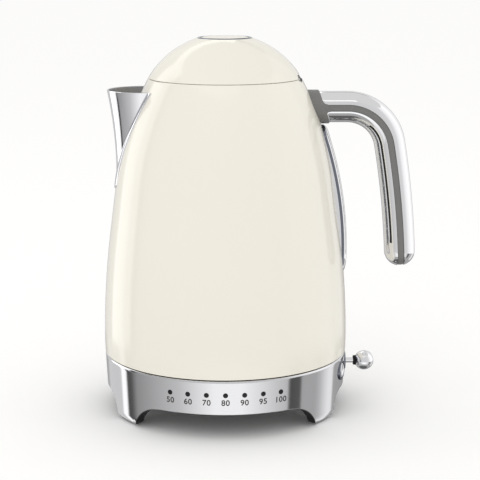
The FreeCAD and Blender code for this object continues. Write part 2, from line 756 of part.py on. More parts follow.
def make_base_plates():
    deck_plate = turned("deck_plate", [
        (S.plug_radius + S.fit, deck_low),
        (ring_bore - S.fit, deck_low),
        (ring_bore - S.fit, deck_top),
        (S.socket_flange, deck_top),
        (S.socket_flange - S.deck_boss_rise / 2, boss_top),
        (S.plug_radius + S.fit, boss_top),
    ])
    posts = round_of("deck_post", base_screw_pattern, cylinder, S.screw_post_radius, cover_top, deck_low)
    screw_end = cover_ledge + S.base_screw_length
    hole_radius = S.base_screw_radius + S.pin_fit
    holes = round_of("deck_hole", base_screw_pattern, cylinder, hole_radius, cover_ledge, screw_end)
    deck = joined("deck_with_posts", [deck_plate, *posts])
    keep(cut("deck_cut", deck, [group("deck_holes", holes)]), "base_deck")

    cover_plate = turned("cover_plate", ring(0, ring_bore - S.fit, cover_ledge, cover_top))
    board_outer = ring_bore - S.board_clear
    board_inner = board_outer - S.board_width
    board_low = indicator_height - S.indicator_radius - S.pin_fit - S.board_thickness
    board_middle = (board_inner + board_outer) / 2
    legs = []
    for name, side in (("left", -1), ("right", 1)):
        angle = FRONT + S.board_span_angle * side / 3
        legs.append(cylinder(f"board_leg_{name}", S.screw_post_radius / 2, cover_top, board_low,
                             board_middle * cosine(angle), board_middle * sine(angle)))
    cover = joined("cover_with_legs", [cover_plate, *legs])
    cover_holes = round_of("cover_hole", base_screw_pattern, cylinder, hole_radius, cover_ledge, cover_top)
    keep(cut("cover_cut", cover, [group("cover_holes", cover_holes)]), "base_bottom_cover")
    keep(turned("control_board_plate", ring(board_inner, board_outer, board_low,
                                            board_low + S.board_thickness),
                S.board_span_angle, FRONT), "control_board")
    screws = round_of("base_screw", base_screw_pattern, screw, S.base_screw_radius, cover_ledge, screw_end)
    keep(group("base_screw_set", screws), "base_screws")


def make_foot_pads():
    middle = (QUARTER_TURN + S.front_arch_foot_angle - S.side_arch_foot_angle) / 2
    span = QUARTER_TURN - S.side_arch_foot_angle - S.front_arch_foot_angle - S.pad_margin_angle * 2
    outline = ring(foot_bore + S.fit, base_foot_radius - S.foot_round, 0, S.pad_thickness)
    azimuths = (FRONT + middle, FRONT - middle, BACK + middle, BACK - middle)
    pads = [turned(f"foot_pad_{index}", outline, span, azimuth) for index, azimuth in enumerate(azimuths)]
    keep(group("foot_pad_set", pads), "foot_pads")


def make_connector():
    plug_low = deck_top - S.plug_depth
    well_floor = deck_top + S.tower_floor
    contact_top = tower_top - S.contact_drop
    keep(turned("plug_turned", [
        (0, plug_low),
        (S.plug_radius, plug_low),
        (S.plug_radius, boss_top),
        (S.tower_radius, boss_top),
        (S.tower_radius, tower_top),
        (S.well_outer, tower_top),
        (S.well_outer, well_floor),
        (S.well_inner, well_floor),
        (S.well_inner, tower_top),
        (S.pin_well, tower_top),
        (S.pin_well, well_floor),
        (0, well_floor),
    ]), "base_plug")
    pin = cylinder("contact_pin", S.contact_pin, well_floor, contact_top)
    band = turned("contact_band", ring(S.well_outer - S.pin_fit - S.contact_wall,
                                       S.well_outer - S.pin_fit, well_floor, contact_top))
    keep(group("contact_set", [pin, band]), "plug_contacts")

    cavity = S.tower_radius + S.run_gap * 2
    socket_low = boss_top + S.run_gap * 2
    flange_top = socket_low + S.socket_flange_thickness
    keep(turned("socket_turned", [
        (cavity, socket_low),
        (S.socket_flange, socket_low),
        (S.socket_flange, flange_top),
        (cavity + S.socket_wall, flange_top),
        (cavity + S.socket_wall, socket_cavity_top + S.socket_cap),
        (0, socket_cavity_top + S.socket_cap),
        (0, socket_cavity_top),
        (cavity, socket_cavity_top),
    ]), "jug_socket")
    sleeve_low = socket_cavity_top - S.sleeve_drop
    sleeve = turned("contact_sleeve", ring(S.sleeve_radius - S.sleeve_wall, S.sleeve_radius,
                                           sleeve_low, socket_cavity_top))
    blade = turned("contact_blade", ring(S.blade_radius - S.blade_wall, S.blade_radius,
                                         sleeve_low, socket_cavity_top))
    keep(group("socket_contact_set", [sleeve, blade]), "socket_contacts")


def make_indicators():
    face = ring_face(indicator_height)
    lens_in = face - S.lens_length
    lamp_out = lens_in - S.pin_fit
    lenses = []
    lamps = []
    for index, azimuth in enumerate(indicator_azimuths()):
        lenses.append(spun(f"indicator_lens_{index}", rod(lens_in, face, S.indicator_radius),
                           azimuth, indicator_height))
        lamp = rod(lamp_out - S.led_length, lamp_out, S.indicator_radius)
        lamps.append(spun(f"indicator_led_{index}", lamp, azimuth, indicator_height))
    keep(group("indicator_lens_set", lenses), "indicator_lenses")
    keep(group("indicator_led_set", lamps), "indicator_leds")


def make_lever():
    face = ring_face(lever_height)
    lever_pivot = face - S.lever_pivot_inset
    lever_tip = face + S.lever_reach
    knob_centre = lever_tip + S.knob_offset
    front = face + S.trim_proud
    collar = spun("escutcheon_turned", [
        (front - S.escutcheon_depth, 0),
        (front, 0),
        (front, S.escutcheon_radius - S.trim_bevel),
        (front - S.trim_bevel, S.escutcheon_radius),
        (front - S.escutcheon_depth, S.escutcheon_radius),
    ], 0, lever_height)
    opening = prism("lever_slot", "YZ", slot(lever_height - S.lever_slot_half,
                                             lever_height + S.lever_slot_half,
                                             S.lever_radius + S.run_gap * 1.5),
                    S.escutcheon_depth * 3, front - S.escutcheon_depth * 2)
    keep(cut("escutcheon_cut", collar, [opening]), "lever_escutcheon")

    hub_half = S.lever_hub - S.run_gap
    shaft = spun("lever_shaft", rod(lever_pivot, lever_tip, S.lever_radius), 0, lever_height)
    hub = cross_rod("lever_hub_round", S.lever_hub, -hub_half, hub_half, lever_pivot, lever_height)
    tail = block("lever_tail_bar", (lever_pivot - S.lever_tail, -S.lever_radius,
                                    lever_height - S.lever_tail_height / 2),
                 (lever_pivot, S.lever_radius, lever_height + S.lever_tail_height / 2))
    bore = cross_rod("lever_bore", S.lever_pin_radius + S.pin_fit, -S.lever_hub, S.lever_hub,
                     lever_pivot, lever_height)
    keep(cut("lever_cut", joined("lever_body", [shaft, hub, tail]), [bore]), "lever_rod")
    keep(joined("knob_body", [
        ball("knob_ball", S.knob_radius, knob_centre, 0, lever_height),
        spun("knob_neck_turned", rod(lever_tip, knob_centre, S.knob_neck), 0, lever_height),
    ]), "lever_knob")

    ear_out = S.lever_hub + S.bracket_ear
    foot_top = cover_top + S.bracket_foot
    left = lever_pivot - S.bracket_reach
    right = lever_pivot + S.bracket_reach
    ear_top = lever_height + S.bracket_reach
    plate = block("bracket_foot_plate", (left, -ear_out, cover_top), (right, ear_out, foot_top))
    near = block("bracket_near_ear", (left, -ear_out, cover_top), (right, -S.lever_hub, ear_top))
    far = block("bracket_far_ear", (left, S.lever_hub, cover_top), (right, ear_out, ear_top))
    hole = cross_rod("bracket_hole", S.lever_pin_radius + S.pin_fit, -ear_out, ear_out,
                     lever_pivot, lever_height)
    keep(cut("bracket_cut", joined("bracket_body", [plate, near, far]), [hole]), "lever_bracket")
    keep(cross_rod("lever_pin_round", S.lever_pin_radius, -ear_out, ear_out,
                   lever_pivot, lever_height), "lever_pin")
    switch_out = left - S.fit
    switch_top = lever_height - S.lever_tail_height / 2 - S.run_gap
    keep(block("lever_switch_block", (switch_out - S.switch_length, -S.switch_half_width, cover_top),
               (switch_out, S.switch_half_width, switch_top)), "lever_switch")


def make_selector():
    face = ring_face(lever_height)
    front = face + S.trim_proud
    keep(spun("bezel_turned", [
        (front - S.bezel_depth, bezel_bore),
        (front, bezel_bore),
        (front, bezel_radius - S.trim_bevel),
        (front - S.trim_bevel, bezel_radius),
        (front - S.bezel_depth, bezel_radius),
    ], S.selector_azimuth, lever_height), "selector_bezel")
    back = front - S.selector_depth
    keep(spun("selector_turned", [
        (back, 0),
        (front, 0),
        (front, S.selector_radius - S.trim_bevel),
        (front - S.trim_bevel, S.selector_radius),
        (back, S.selector_radius),
    ], S.selector_azimuth, lever_height), "selector_button")
    switch_out = back - S.selector_travel - S.run_gap
    switch = prism("selector_switch_block", "XZ", ring(switch_out - S.switch_length, switch_out, cover_top,
                                                       lever_height + S.bracket_reach),
                   S.switch_half_width * 2)
    turn_about(switch, S.selector_azimuth)
    keep(switch, "selector_switch")


def make_gland():
    inner = ring_bore - S.gland_inside
    lip = gland_radius + S.gland_lip
    face = ring_face(gland_height + lip)
    keep(spun("gland_turned", [
        (inner, S.gland_bore),
        (face + S.gland_flange + S.fit, S.gland_bore),
        (face + S.gland_flange + S.fit, lip - S.trim_bevel),
        (face + S.gland_flange + S.fit - S.trim_bevel, lip),
        (face + S.fit, lip),
        (face + S.fit, gland_radius),
        (inner + S.gland_flange, gland_radius),
        (inner + S.gland_flange, lip),
        (inner, lip),
    ], BACK, gland_height), "cord_gland")


# Jug


def make_jug_shell(spout_hollow):
    outside = jug_side(0)
    inside = jug_side(S.jug_wall)
    blank = turned("jug_shell_blank", [
        *outside,
        inside[4][:2],
        (*inside[3][:2], -S.shoulder_curve),
        inside[2][:2],
        (*inside[1][:2], -S.belly_curve),
        inside[0],
    ])
    pour_box = block("pour_box", (-belly_radius, -S.filter_half_width, pour_low),
                     (-collar_bore, S.filter_half_width, pour_high))
    pour_hole = shared("pour_hole", [spout_hollow, pour_box])
    window_hole = prism("window_hole", "YZ", window_slot(S.window_half_width), belly_radius, collar_bore)
    notch = cross_rod("jug_hinge_notch", S.hinge_inset + S.run_gap * 2, -S.hinge_notch_half - S.run_gap,
                      S.hinge_notch_half + S.run_gap, hinge_x, hinge_z)
    screw_holes = handle_screw_rods("shell_screw_hole", S.handle_screw_radius + S.pin_fit)
    keep(cut("jug_shell_cut", blank, [group("jug_shell_voids", [pour_hole, window_hole, notch,
                                                                *screw_holes])]), "jug_shell")


def make_collar():
    corner = shoulder_at(collar_low) - S.jug_wall - S.collar_fit
    blank = turned("collar_blank", [
        (collar_bore, collar_low),
        (corner, collar_low),
        (shoulder_at(collar_top) - S.jug_wall - S.collar_fit, collar_top, S.shoulder_curve),
        (collar_bore, collar_top),
    ])
    middle = S.lid_knuckle_half + S.run_gap
    knuckles = [
        cross_rod("near_knuckle", S.knuckle_radius, -S.hinge_half, -middle, hinge_x, hinge_z),
        cross_rod("far_knuckle", S.knuckle_radius, middle, S.hinge_half, hinge_x, hinge_z),
    ]
    relief = cross_rod("collar_relief", S.knuckle_radius + S.run_gap, -middle, middle, hinge_x, hinge_z)
    bore = hinge_bore("collar_pin_bore")
    body = joined("collar_with_knuckles", [blank, *knuckles])
    keep(cut("collar_cut", body, [relief, bore]), "jug_collar")
    keep(cross_rod("hinge_pin_round", S.hinge_pin_radius, -S.hinge_half, S.hinge_half,
                   hinge_x, hinge_z), "hinge_pin")


def hinge_bore(name):
    return cross_rod(name, S.hinge_pin_radius + S.pin_fit, -S.hinge_notch_half, S.hinge_notch_half,
                     hinge_x, hinge_z)


def spout_form(name, grow, rise=None):
    """The spout's flared form as a solid, grown by grow and carried on above the lip by rise."""
    side = [
        (S.spout_radius + grow, spout_low),
        (S.spout_radius + grow, spout_flare_start),
        (S.spout_lip_radius + grow, spout_lip_height, -S.spout_flare),
    ]
    top = spout_lip_height
    if rise is not None:
        top = spout_lip_height + rise
        side.append((S.spout_lip_radius + grow, top))
    return turned(name, [(0, spout_low), *side, (0, top)], offset=-spout_axis)


def make_spout(body_form, hollow):
    beak = cut("beak", spout_form("spout_outside", 0), [hollow, body_form])
    band_layer = cut("band_layer", jug_form("band_outside", -S.flange_proud), [body_form, hollow])
    band = shared("spout_band", [band_layer, spout_form("band_reach", S.flange_width)])
    keep(joined("spout_joined", [beak, band]), "spout")

    gap = S.jug_wall + S.run_gap
    half = S.filter_half_width
    low = pour_low - S.filter_margin
    high = pour_high + S.filter_margin
    frame_layer = cut("filter_layer", jug_form("filter_outside", gap),
                      [jug_form("filter_inside", gap + S.filter_thickness)])
    frame_box = block("filter_box", (-belly_radius, -half, low), (-collar_bore, half, high))
    window_half = half - S.filter_margin
    window_box = block("filter_window", (-belly_radius, -window_half, pour_low),
                       (-S.spout_lip_radius, window_half, pour_high))
    keep(cut("filter_frame_cut", shared("filter_plate", [frame_layer, frame_box]), [window_box]),
         "spout_filter_frame")
    inset = gap + (S.filter_thickness - S.mesh_thickness) / 2
    mesh_layer = cut("mesh_layer", jug_form("mesh_outside", inset),
                     [jug_form("mesh_inside", inset + S.mesh_thickness)])
    mesh_half = window_half - S.pin_fit
    mesh_box = block("mesh_box", (-belly_radius, -mesh_half, pour_low + S.pin_fit),
                     (-S.spout_lip_radius, mesh_half, pour_high - S.pin_fit))
    slots = []
    count = int(S.mesh_slots.value)
    for index in range(count):
        middle = window_half * 2 * (index + 0.5) / count - window_half
        slots.append(block(f"mesh_slot_{index}",
                           (-belly_radius, middle - S.mesh_slot_width / 2, pour_low + S.filter_margin),
                           (-S.spout_lip_radius, middle + S.mesh_slot_width / 2,
                            pour_high - S.filter_margin)))
    keep(cut("mesh_cut", shared("mesh_plate", [mesh_layer, mesh_box]), [group("mesh_slots", slots)]),
         "spout_filter_mesh")


def make_heater():
    rim_out = floor_radius
    rim_in = floor_radius - S.floor_rim_wall
    rim_top = floor_low + S.floor_rim
    seal_top = rim_top + S.seal_height
    floor_plate = turned("floor_plate", [
        (S.socket_flange + S.run_gap, floor_low),
        (S.stand_radius - S.stand_width, floor_low),
        (S.stand_radius - S.stand_width, deck_top + S.run_gap),
        (S.stand_radius, deck_top + S.run_gap),
        (S.stand_radius, floor_low),
        (rim_out, floor_low),
        (rim_out, rim_top),
        (rim_in, rim_top),
        (rim_in, floor_top),
        (S.socket_flange + S.run_gap, floor_top),
    ])
    holes = round_of("floor_hole", jug_screw_pattern, cylinder, S.jug_screw_radius + S.pin_fit,
                     floor_low, floor_top)
    keep(cut("floor_cut", floor_plate, [group("floor_holes", holes)]), "jug_floor_cover")
    keep(turned("heater_seal_ring", ring(rim_in, rim_out, rim_top, seal_top)), "heater_seal")
    skirt_in = rim_out - S.heater_thickness
    pan = turned("heater_pan", [
        (0, heater_height),
        (skirt_in, heater_height),
        (skirt_in, seal_top),
        (rim_out, seal_top),
        (rim_out, heater_top),
        (0, heater_top),
    ])
    probe_hole = cylinder("probe_hole", S.probe_radius + S.pin_fit, heater_height, heater_top,
                          0, S.probe_circle)
    keep(cut("heater_cut", pan, [probe_hole]), "heater_plate")
    probe_top = heater_top + S.probe_above
    keep(cylinder("probe_round", S.probe_radius, probe_top - S.probe_length, probe_top,
                  0, S.probe_circle), "temperature_probe")

    element_height = heater_height - S.element_tube - S.pin_fit
    loop = doc.addObject("Part::Torus", "element_loop")
    drive(loop, "Radius1", S.element_radius)
    drive(loop, "Radius2", S.element_tube)
    drive(loop, "Angle3", S.element_angle)
    place(loop, 0, 0, element_height)
    terminals = []
    for name, angle in (("first", sized(0)), ("last", S.element_angle)):
        terminals.append(cylinder(f"terminal_{name}", S.terminal_radius, element_height - S.terminal_length,
                                  element_height, S.element_radius * cosine(angle),
                                  S.element_radius * sine(angle)))
    keep(joined("element_body", [loop, *terminals]), "heating_element")
    cutouts = round_of("thermal_cutout", cutout_pattern, cylinder, S.cutout_radius,
                       heater_height - S.cutout_height, heater_height)
    keep(group("cutout_set", cutouts), "thermal_cutouts")
    screws = round_of("jug_screw", jug_screw_pattern, screw, S.jug_screw_radius, floor_low, heater_height)
    keep(group("jug_screw_set", screws), "jug_screws")


# Handle


def handle_spine(name, tail):
    """The handle's axis: level, round the bend, down the grip, and on by tail."""
    sketch = loose_sketch(name, FreeCAD.Rotation(Vector(1, 0, 0), 90))
    draw(sketch, [(handle_start, handle_height), (bend_start, handle_height), bend_end, grip_end,
                  (grip_end[0] + tail * cosine(S.grip_end_angle),
                   grip_end[1] - tail * sine(S.grip_end_angle))], closed=False)
    return sketch


handle_side = shoulder_at(handle_height)
handle_start = handle_side - S.handle_sink
bend_start = handle_side + S.bend_reach
bend_end = (
    bend_start + S.bend_radius * sine(S.bend_angle),
    handle_height - S.bend_radius * (1 - cosine(S.bend_angle)),
    -S.bend_radius,
)
grip_end = (
    bend_end[0] + S.grip_curve * (sine(S.grip_end_angle) - sine(S.bend_angle)),
    bend_end[1] - S.grip_curve * (cosine(S.bend_angle) - cosine(S.grip_end_angle)),
    -S.grip_curve,
)


def handle_section(name, corners):
    """An outline across the handle's start; corners are (across, outwards from the axis)."""
    sketch = loose_sketch(name, FreeCAD.Rotation(0.5, 0.5, 0.5, 0.5))
    drive(sketch, "Placement.Base.x", handle_start)
    drive(sketch, "Placement.Base.z", handle_height)
    return draw(sketch, corners)


def handle_bar(name, spine, radius):
    """The handle's round bar with its domed end."""
    disc = handle_section(f"{name}_section", [(radius, 0, radius), (0, radius, radius), (-radius, 0, radius),
                                              (0, -radius, radius)])
    bar = swept(f"{name}_bar", disc, spine, 3)
    return joined(name, [bar, ball(f"{name}_end", radius, grip_end[0], 0, grip_end[1])])


def handle_screw_rods(name, radius):
    """Rods along X where the handle's screws pass through the jug's wall."""
    return [
        side_rod(f"{name}_{index}", radius, handle_screw_seat, handle_screw_seat + S.handle_screw_length,
                 S.handle_screw_spread * side)
        for index, side in enumerate((-1, 1))
    ]


def side_rod(name, radius, start, finish, y):
    """A cylinder along X at the handle's height."""
    thing = doc.addObject("Part::Cylinder", name)
    thing.Placement = FreeCAD.Placement(Vector(), FreeCAD.Rotation(Vector(0, 1, 0), 90))
    drive(thing, "Radius", radius)
    drive(thing, "Height", finish - start)
    return place(thing, start, y, handle_height)


handle_head = S.handle_screw_radius * S.screw_head_ratio
handle_inner_face = shoulder_at(handle_height + handle_head) - S.jug_wall
handle_head_corner = S.handle_screw_spread + handle_head
handle_screw_seat = root(handle_inner_face * handle_inner_face
                         - handle_head_corner * handle_head_corner) - S.run_gap


def make_handle(body_form):
    reach = S.handle_radius * 1.5
    spine = handle_spine("handle_axis", S.handle_radius * 1.4)
    skin = cut("handle_tube", handle_bar("handle_outside", spine, S.handle_radius),
               [handle_bar("handle_inside", spine, S.handle_radius - S.handle_shell_wall)])
    root_top = shoulder_at(handle_height + S.handle_radius) + S.root_reach_top
    root_bottom = shoulder_at(handle_height - S.handle_radius) + S.root_reach_bottom
    edge_slope = (root_bottom - root_top) / (S.handle_radius * 2)
    low = handle_height - reach
    high = handle_height + reach
    far_low = root_bottom + edge_slope * (reach - S.handle_radius)
    far_high = root_top - edge_slope * (reach - S.handle_radius)
    root_side = prism("root_side", "XZ", [(handle_start / 2, low), (far_low, low), (far_high, high),
                                          (handle_start / 2, high)], reach * 2)
    half_stripe = S.stripe_width / 2
    sides = {}
    for label, near, far in (("outer", half_stripe, reach), ("inner", -reach, -half_stripe)):
        window = handle_section(f"{label}_side_section", [(-reach, near), (reach, near), (reach, far),
                                                          (-reach, far)])
        side = swept(f"{label}_side", window, spine, 4)
        shell = cut(f"{label}_shell_cut", shared(f"{label}_half", [skin, side]), [root_side])
        sides[label] = keep(shell, f"handle_{label}_shell")
    root_bar = spun("root_bar", rod(handle_start, root_bottom + reach, S.handle_radius + S.root_swell),
                    0, handle_height)
    root_block = shared("root_block", [root_bar, root_side])
    stripe_bar = handle_bar("stripe_bar", spine, S.handle_radius - S.stripe_recess)
    core = joined("core_body", [stripe_bar, root_block])
    holes = handle_screw_rods("core_screw_hole", S.handle_screw_radius + S.pin_fit)
    keep(cut("core_cut", core, [sides["outer"], sides["inner"], body_form, *holes]), "handle_core")
    screws = []
    shanks = handle_screw_rods("handle_screw_shank", S.handle_screw_radius)
    for index, (shank, side) in enumerate(zip(shanks, (-1, 1))):
        head = side_rod(f"handle_screw_head_{index}", handle_head, handle_screw_seat - S.screw_head_height,
                        handle_screw_seat, S.handle_screw_spread * side)
        screws.append(joined(f"handle_screw_{index}", [shank, head]))
    keep(group("handle_screw_set", screws), "handle_screws")


# Water gauge


def gauge_form(name, inset):
    """The gauge frame's outer form, all round the jug."""
    return turned(name, [
        (0, gauge_low),
        (gauge_low_radius - inset, gauge_low),
        (gauge_belly_radius - inset, gauge_belly_height, S.gauge_low_curve),
        (gauge_high_radius - inset, gauge_high, S.gauge_curve),
        (0, gauge_high),
    ])


def window_slot(half_width):
    play = S.window_half_width - half_width
    return slot(gauge_low + S.window_margin + play, gauge_high - S.window_margin - play, half_width)


def make_gauge(body_form):
    side = belly_radius
    frame_layer = cut("gauge_layer", gauge_form("gauge_outside", 0), [body_form])
    frame_plan = prism("gauge_plan", "YZ", slot(gauge_low, gauge_high, S.gauge_half_width), side,
                       collar_bore)
    opening = prism("gauge_opening", "YZ", window_slot(S.window_half_width), side, collar_bore)
    keep(cut("gauge_frame_cut", shared("gauge_plate", [frame_layer, frame_plan]), [opening]), "gauge_frame")
    pane_layer = cut("pane_layer", gauge_form("pane_outside", S.window_recess),
                     [jug_form("pane_inside", S.jug_wall + S.window_depth)])
    pane_plan = prism("pane_plan", "YZ", window_slot(S.window_half_width - S.pin_fit), side, collar_bore)
    keep(shared("pane", [pane_layer, pane_plan]), "gauge_window")
    seal_layer = cut("seal_layer", jug_form("seal_outside", S.jug_wall + S.pin_fit),
                     [jug_form("seal_inside", S.jug_wall + S.window_depth)])
    seal_plan = prism("seal_plan", "YZ", window_slot(S.window_half_width + S.gauge_seal_width), side,
                      collar_bore)
    seal_hole = prism("seal_hole", "YZ", window_slot(S.window_half_width + S.pin_fit), side, collar_bore)
    keep(cut("seal_cut", shared("seal_plate", [seal_layer, seal_plan]), [seal_hole]), "gauge_seal")


# Lid


def make_lid():
    button_top = dome_height_at(S.button_radius) + S.button_proud
    lid_seal_inner = liner_radius + S.lid_seal_margin
    lid_seal_outer = lid_seal_inner + S.lid_seal_width
    latch_nose = collar_bore - S.latch_clear
    ring_step = dome_height_at(S.trim_ring_outer) - S.trim_ring_seat
    ring_bore_radius = S.button_radius + S.run_gap
    shell_bore = ring_bore_radius + S.run_gap
    dome = turned("lid_dome", [
        (dome_radius_at(lid_edge), lid_edge),
        (S.trim_ring_outer + S.pin_fit, dome_height_at(S.trim_ring_outer + S.pin_fit), S.dome_radius),
        (S.trim_ring_outer + S.pin_fit, ring_step),
        (shell_bore, ring_step),
        (shell_bore, dome_height_at(shell_bore, S.lid_wall)),
        (dome_radius_at(lid_edge, S.lid_wall), lid_edge, S.lid_wall - S.dome_radius),
    ])
    post_form = turned("lid_post_form", [
        (0, lid_edge),
        (dome_radius_at(lid_edge, S.lid_wall / 2), lid_edge),
        (0, dome_centre + S.dome_radius - S.lid_wall / 2, S.dome_radius - S.lid_wall / 2),
    ])
    post_top = dome_centre + S.dome_radius
    post_set = round_of("lid_post", lid_screw_pattern, cylinder, S.lid_post_radius, lid_edge, post_top)
    posts = shared("lid_posts", [post_form, group("lid_post_set", post_set)])
    stubs = round_of("lid_stub", lid_screw_pattern, cylinder, S.lid_post_radius,
                     liner_top + S.pin_fit, lid_edge)
    body = joined("lid_body", [dome, posts, *stubs])
    notch = cross_rod("lid_notch", S.hinge_inset + S.pin_fit * 2, -S.hinge_notch_half, S.hinge_notch_half,
                      hinge_x, hinge_z)
    screw_top = liner_low + S.lid_screw_length
    hole_radius = S.lid_screw_radius + S.pin_fit
    holes = round_of("lid_screw_hole", lid_screw_pattern, cylinder, hole_radius, liner_low, screw_top)
    keep(cut("lid_shell_cut", body, [notch, group("lid_screw_holes", holes)]), "lid_shell")

    flange_low = seam_height + S.liner_flange_rise
    flange_top = flange_low + S.liner_flange_thickness
    cup = turned("liner_cup", [
        (0, liner_low),
        (liner_radius, liner_low),
        (liner_radius, flange_low),
        (liner_flange, flange_low),
        (liner_flange, flange_top),
        (liner_radius - S.liner_wall, flange_top),
        (liner_radius - S.liner_wall, liner_top),
        (0, liner_top),
    ])
    relief_start = S.lid_knuckle_half + S.run_gap / 2
    reliefs = [
        cross_rod("liner_near_relief", S.knuckle_radius + S.run_gap, -S.hinge_notch_half, -relief_start,
                  hinge_x, hinge_z),
        cross_rod("liner_far_relief", S.knuckle_radius + S.run_gap, relief_start, S.hinge_notch_half,
                  hinge_x, hinge_z),
    ]
    knuckle = cross_rod("lid_knuckle", S.knuckle_radius, -S.lid_knuckle_half, S.lid_knuckle_half,
                        hinge_x, hinge_z)
    latch_low = liner_top + S.latch_lift
    latch_top = latch_low + S.latch_thickness
    mouth = block("latch_mouth", (-liner_radius - S.fit, -S.latch_half_width - S.run_gap, liner_top),
                  (-liner_radius + S.liner_wall * 2, S.latch_half_width + S.run_gap,
                   latch_top + S.run_gap))
    liner_holes = round_of("liner_screw_hole", lid_screw_pattern, cylinder, hole_radius,
                           liner_low, liner_top)
    liner_body = joined("liner_body", [cut("liner_relieved", cup, reliefs), knuckle])
    keep(cut("liner_cut", liner_body, [hinge_bore("liner_pin_bore"), mouth,
                                       group("liner_holes", liner_holes)]), "lid_liner")
    keep(turned("lid_seal_ring", ring(lid_seal_inner, lid_seal_outer, flange_low - S.lid_seal_height,
                                      flange_low)), "lid_seal")
    screws = round_of("lid_screw", lid_screw_pattern, screw, S.lid_screw_radius, liner_low, screw_top)
    keep(group("lid_screw_set", screws), "lid_screws")

    ring_top = dome_height_at(ring_bore_radius)
    keep(turned("trim_ring_turned", [
        (ring_bore_radius, ring_step),
        (S.trim_ring_outer, ring_step),
        (S.trim_ring_outer, dome_height_at(S.trim_ring_outer)),
        (ring_bore_radius, ring_top, S.trim_ring_outer - ring_bore_radius),
    ]), "lid_button_ring")
    button_low = button_top - S.button_thickness
    stem_low = latch_top + S.button_travel + S.run_gap
    keep(turned("button_turned", [
        (0, stem_low),
        (S.button_stem, stem_low),
        (S.button_stem, button_low),
        (S.button_radius, button_low),
        (S.button_radius, button_top - S.button_round),
        (S.button_radius - S.button_round, button_top, S.button_round + S.pin_fit),
        (0, button_top),
    ]), "lid_button")
    keep(block("latch_bar", (-latch_nose, -S.latch_half_width, latch_low),
               (S.latch_inner, S.latch_half_width, latch_top)), "lid_latch")


def build():
    body_form = jug_form("jug_outside", 0)
    spout_hollow = spout_form("spout_hollow", -S.spout_wall, S.spout_wall)
    make_base_ring()
    make_base_plates()
    make_foot_pads()
    make_connector()
    make_indicators()
    make_lever()
    make_selector()
    make_gland()
    make_jug_shell(spout_hollow)
    make_collar()
    make_spout(body_form, spout_hollow)
    make_heater()
    make_handle(body_form)
    make_gauge(body_form)
    make_lid()
    doc.recompute()


def check():
    """Every object is up to date, and every piece is a sound solid."""
    for thing in doc.Objects:
        if "Invalid" in thing.State or "Error" in thing.State:
            raise RuntimeError(f"{thing.Label} failed to build: {thing.State}")
    for node in nodes:
        shape = node.Shape
        if shape.isNull() or not shape.isValid() or not shape.Solids:
            raise RuntimeError(f"{node.Label} isn't a sound solid")


def write():
    os.makedirs("parts", exist_ok=True)
    for node in nodes:
        node.Shape.exportStep(f"parts/{node.Label}.step")
        print(f"{node.Label}: {len(node.Shape.Solids)} solids, {node.Shape.Volume / 1000:.2f} cm3")


build()
check()
write()
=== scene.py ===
import json
import math

import bmesh
import bpy
import numpy as np
from bpy.props import FloatProperty, FloatVectorProperty, IntProperty, PointerProperty
from mathutils import Matrix, Vector


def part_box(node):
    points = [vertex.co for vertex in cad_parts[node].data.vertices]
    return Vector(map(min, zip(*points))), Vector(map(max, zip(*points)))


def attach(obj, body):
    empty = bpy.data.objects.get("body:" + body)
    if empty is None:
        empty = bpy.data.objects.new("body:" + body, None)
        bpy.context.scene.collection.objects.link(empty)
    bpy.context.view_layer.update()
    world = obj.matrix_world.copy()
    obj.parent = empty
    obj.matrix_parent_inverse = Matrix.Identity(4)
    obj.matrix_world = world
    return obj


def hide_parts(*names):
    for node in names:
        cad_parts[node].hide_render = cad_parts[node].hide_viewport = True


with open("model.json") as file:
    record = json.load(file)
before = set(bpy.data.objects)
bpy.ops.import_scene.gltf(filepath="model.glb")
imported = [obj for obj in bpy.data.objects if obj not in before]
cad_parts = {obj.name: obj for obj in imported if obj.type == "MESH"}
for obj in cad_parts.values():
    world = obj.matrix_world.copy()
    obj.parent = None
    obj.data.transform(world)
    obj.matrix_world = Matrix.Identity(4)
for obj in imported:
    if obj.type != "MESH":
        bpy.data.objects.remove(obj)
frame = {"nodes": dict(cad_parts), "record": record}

bl_info = {
    "name": "Electric Kettle",
    "version": (1, 0, 0),
    "blender": (4, 5, 0),
    "location": "View3D > Sidebar > Kettle",
    "description": "Builds the looks of an electric kettle round its fixed frame",
    "category": "Object",
}

# Outlines are in millimetres, as (radius, height); meshes are in metres, in the frame's axes.
MM = 0.001
TINY = 1e-6
FRONT = math.radians(-90)
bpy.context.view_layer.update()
NODES = frame["nodes"]
COLOURS = {entry["slot"]: entry["base_color"][:3] for entry in frame["record"]["materials"]}
NODE_SLOTS = {entry["node"]: entry["material_slot"] for entry in frame["record"]["subparts"]}

# Edges sharper than this many degrees stay sharp, and a face lies along a true surface if the cosine
# between their normals is at least this much.
SHARP_ANGLE = 32
SAME_SURFACE = 0.96

SEAM_HEIGHT = 237.3
JUG_TOP = 237.2
JUG_WALL = 1.2
SPOUT_AXIS = -57.3
SPOUT_WALL = 1.2
SPOUT_LIP = 229.3
LIP_EDGE = 0.25
BEAK_ROWS = 72
BEAK_COLUMNS = 96
BAND_LOW = 160.0
BAND_WIDTH = 4.2
BAND_PROUD = 0.9
POUR_HEIGHTS = (184.0, 192.0, 200.0, 208.0, 217.0)
FILTER_LOW = 184.2
FILTER_HIGH = 216.8
GAUGE_LOW = 97.0
GAUGE_HIGH = 204.3
GAUGE_HALF = 13.0
WINDOW_HALF = 6.2
WINDOW_MARGIN = 13.0
DOME_CENTRE = 205.89
DOME_RADIUS = 62.3
HINGE_X = 51.0
BASE_HEIGHT = 42.0
BASE_RADIUS = 86.8
BASE_TAPER = 2.0
ARCH_HEIGHT = 17.9
FOOT_LOW = 1.0
FOOT_ROUND = 4.5
HANDLE_HEIGHT = 217.0
HANDLE_RADIUS = 11.0
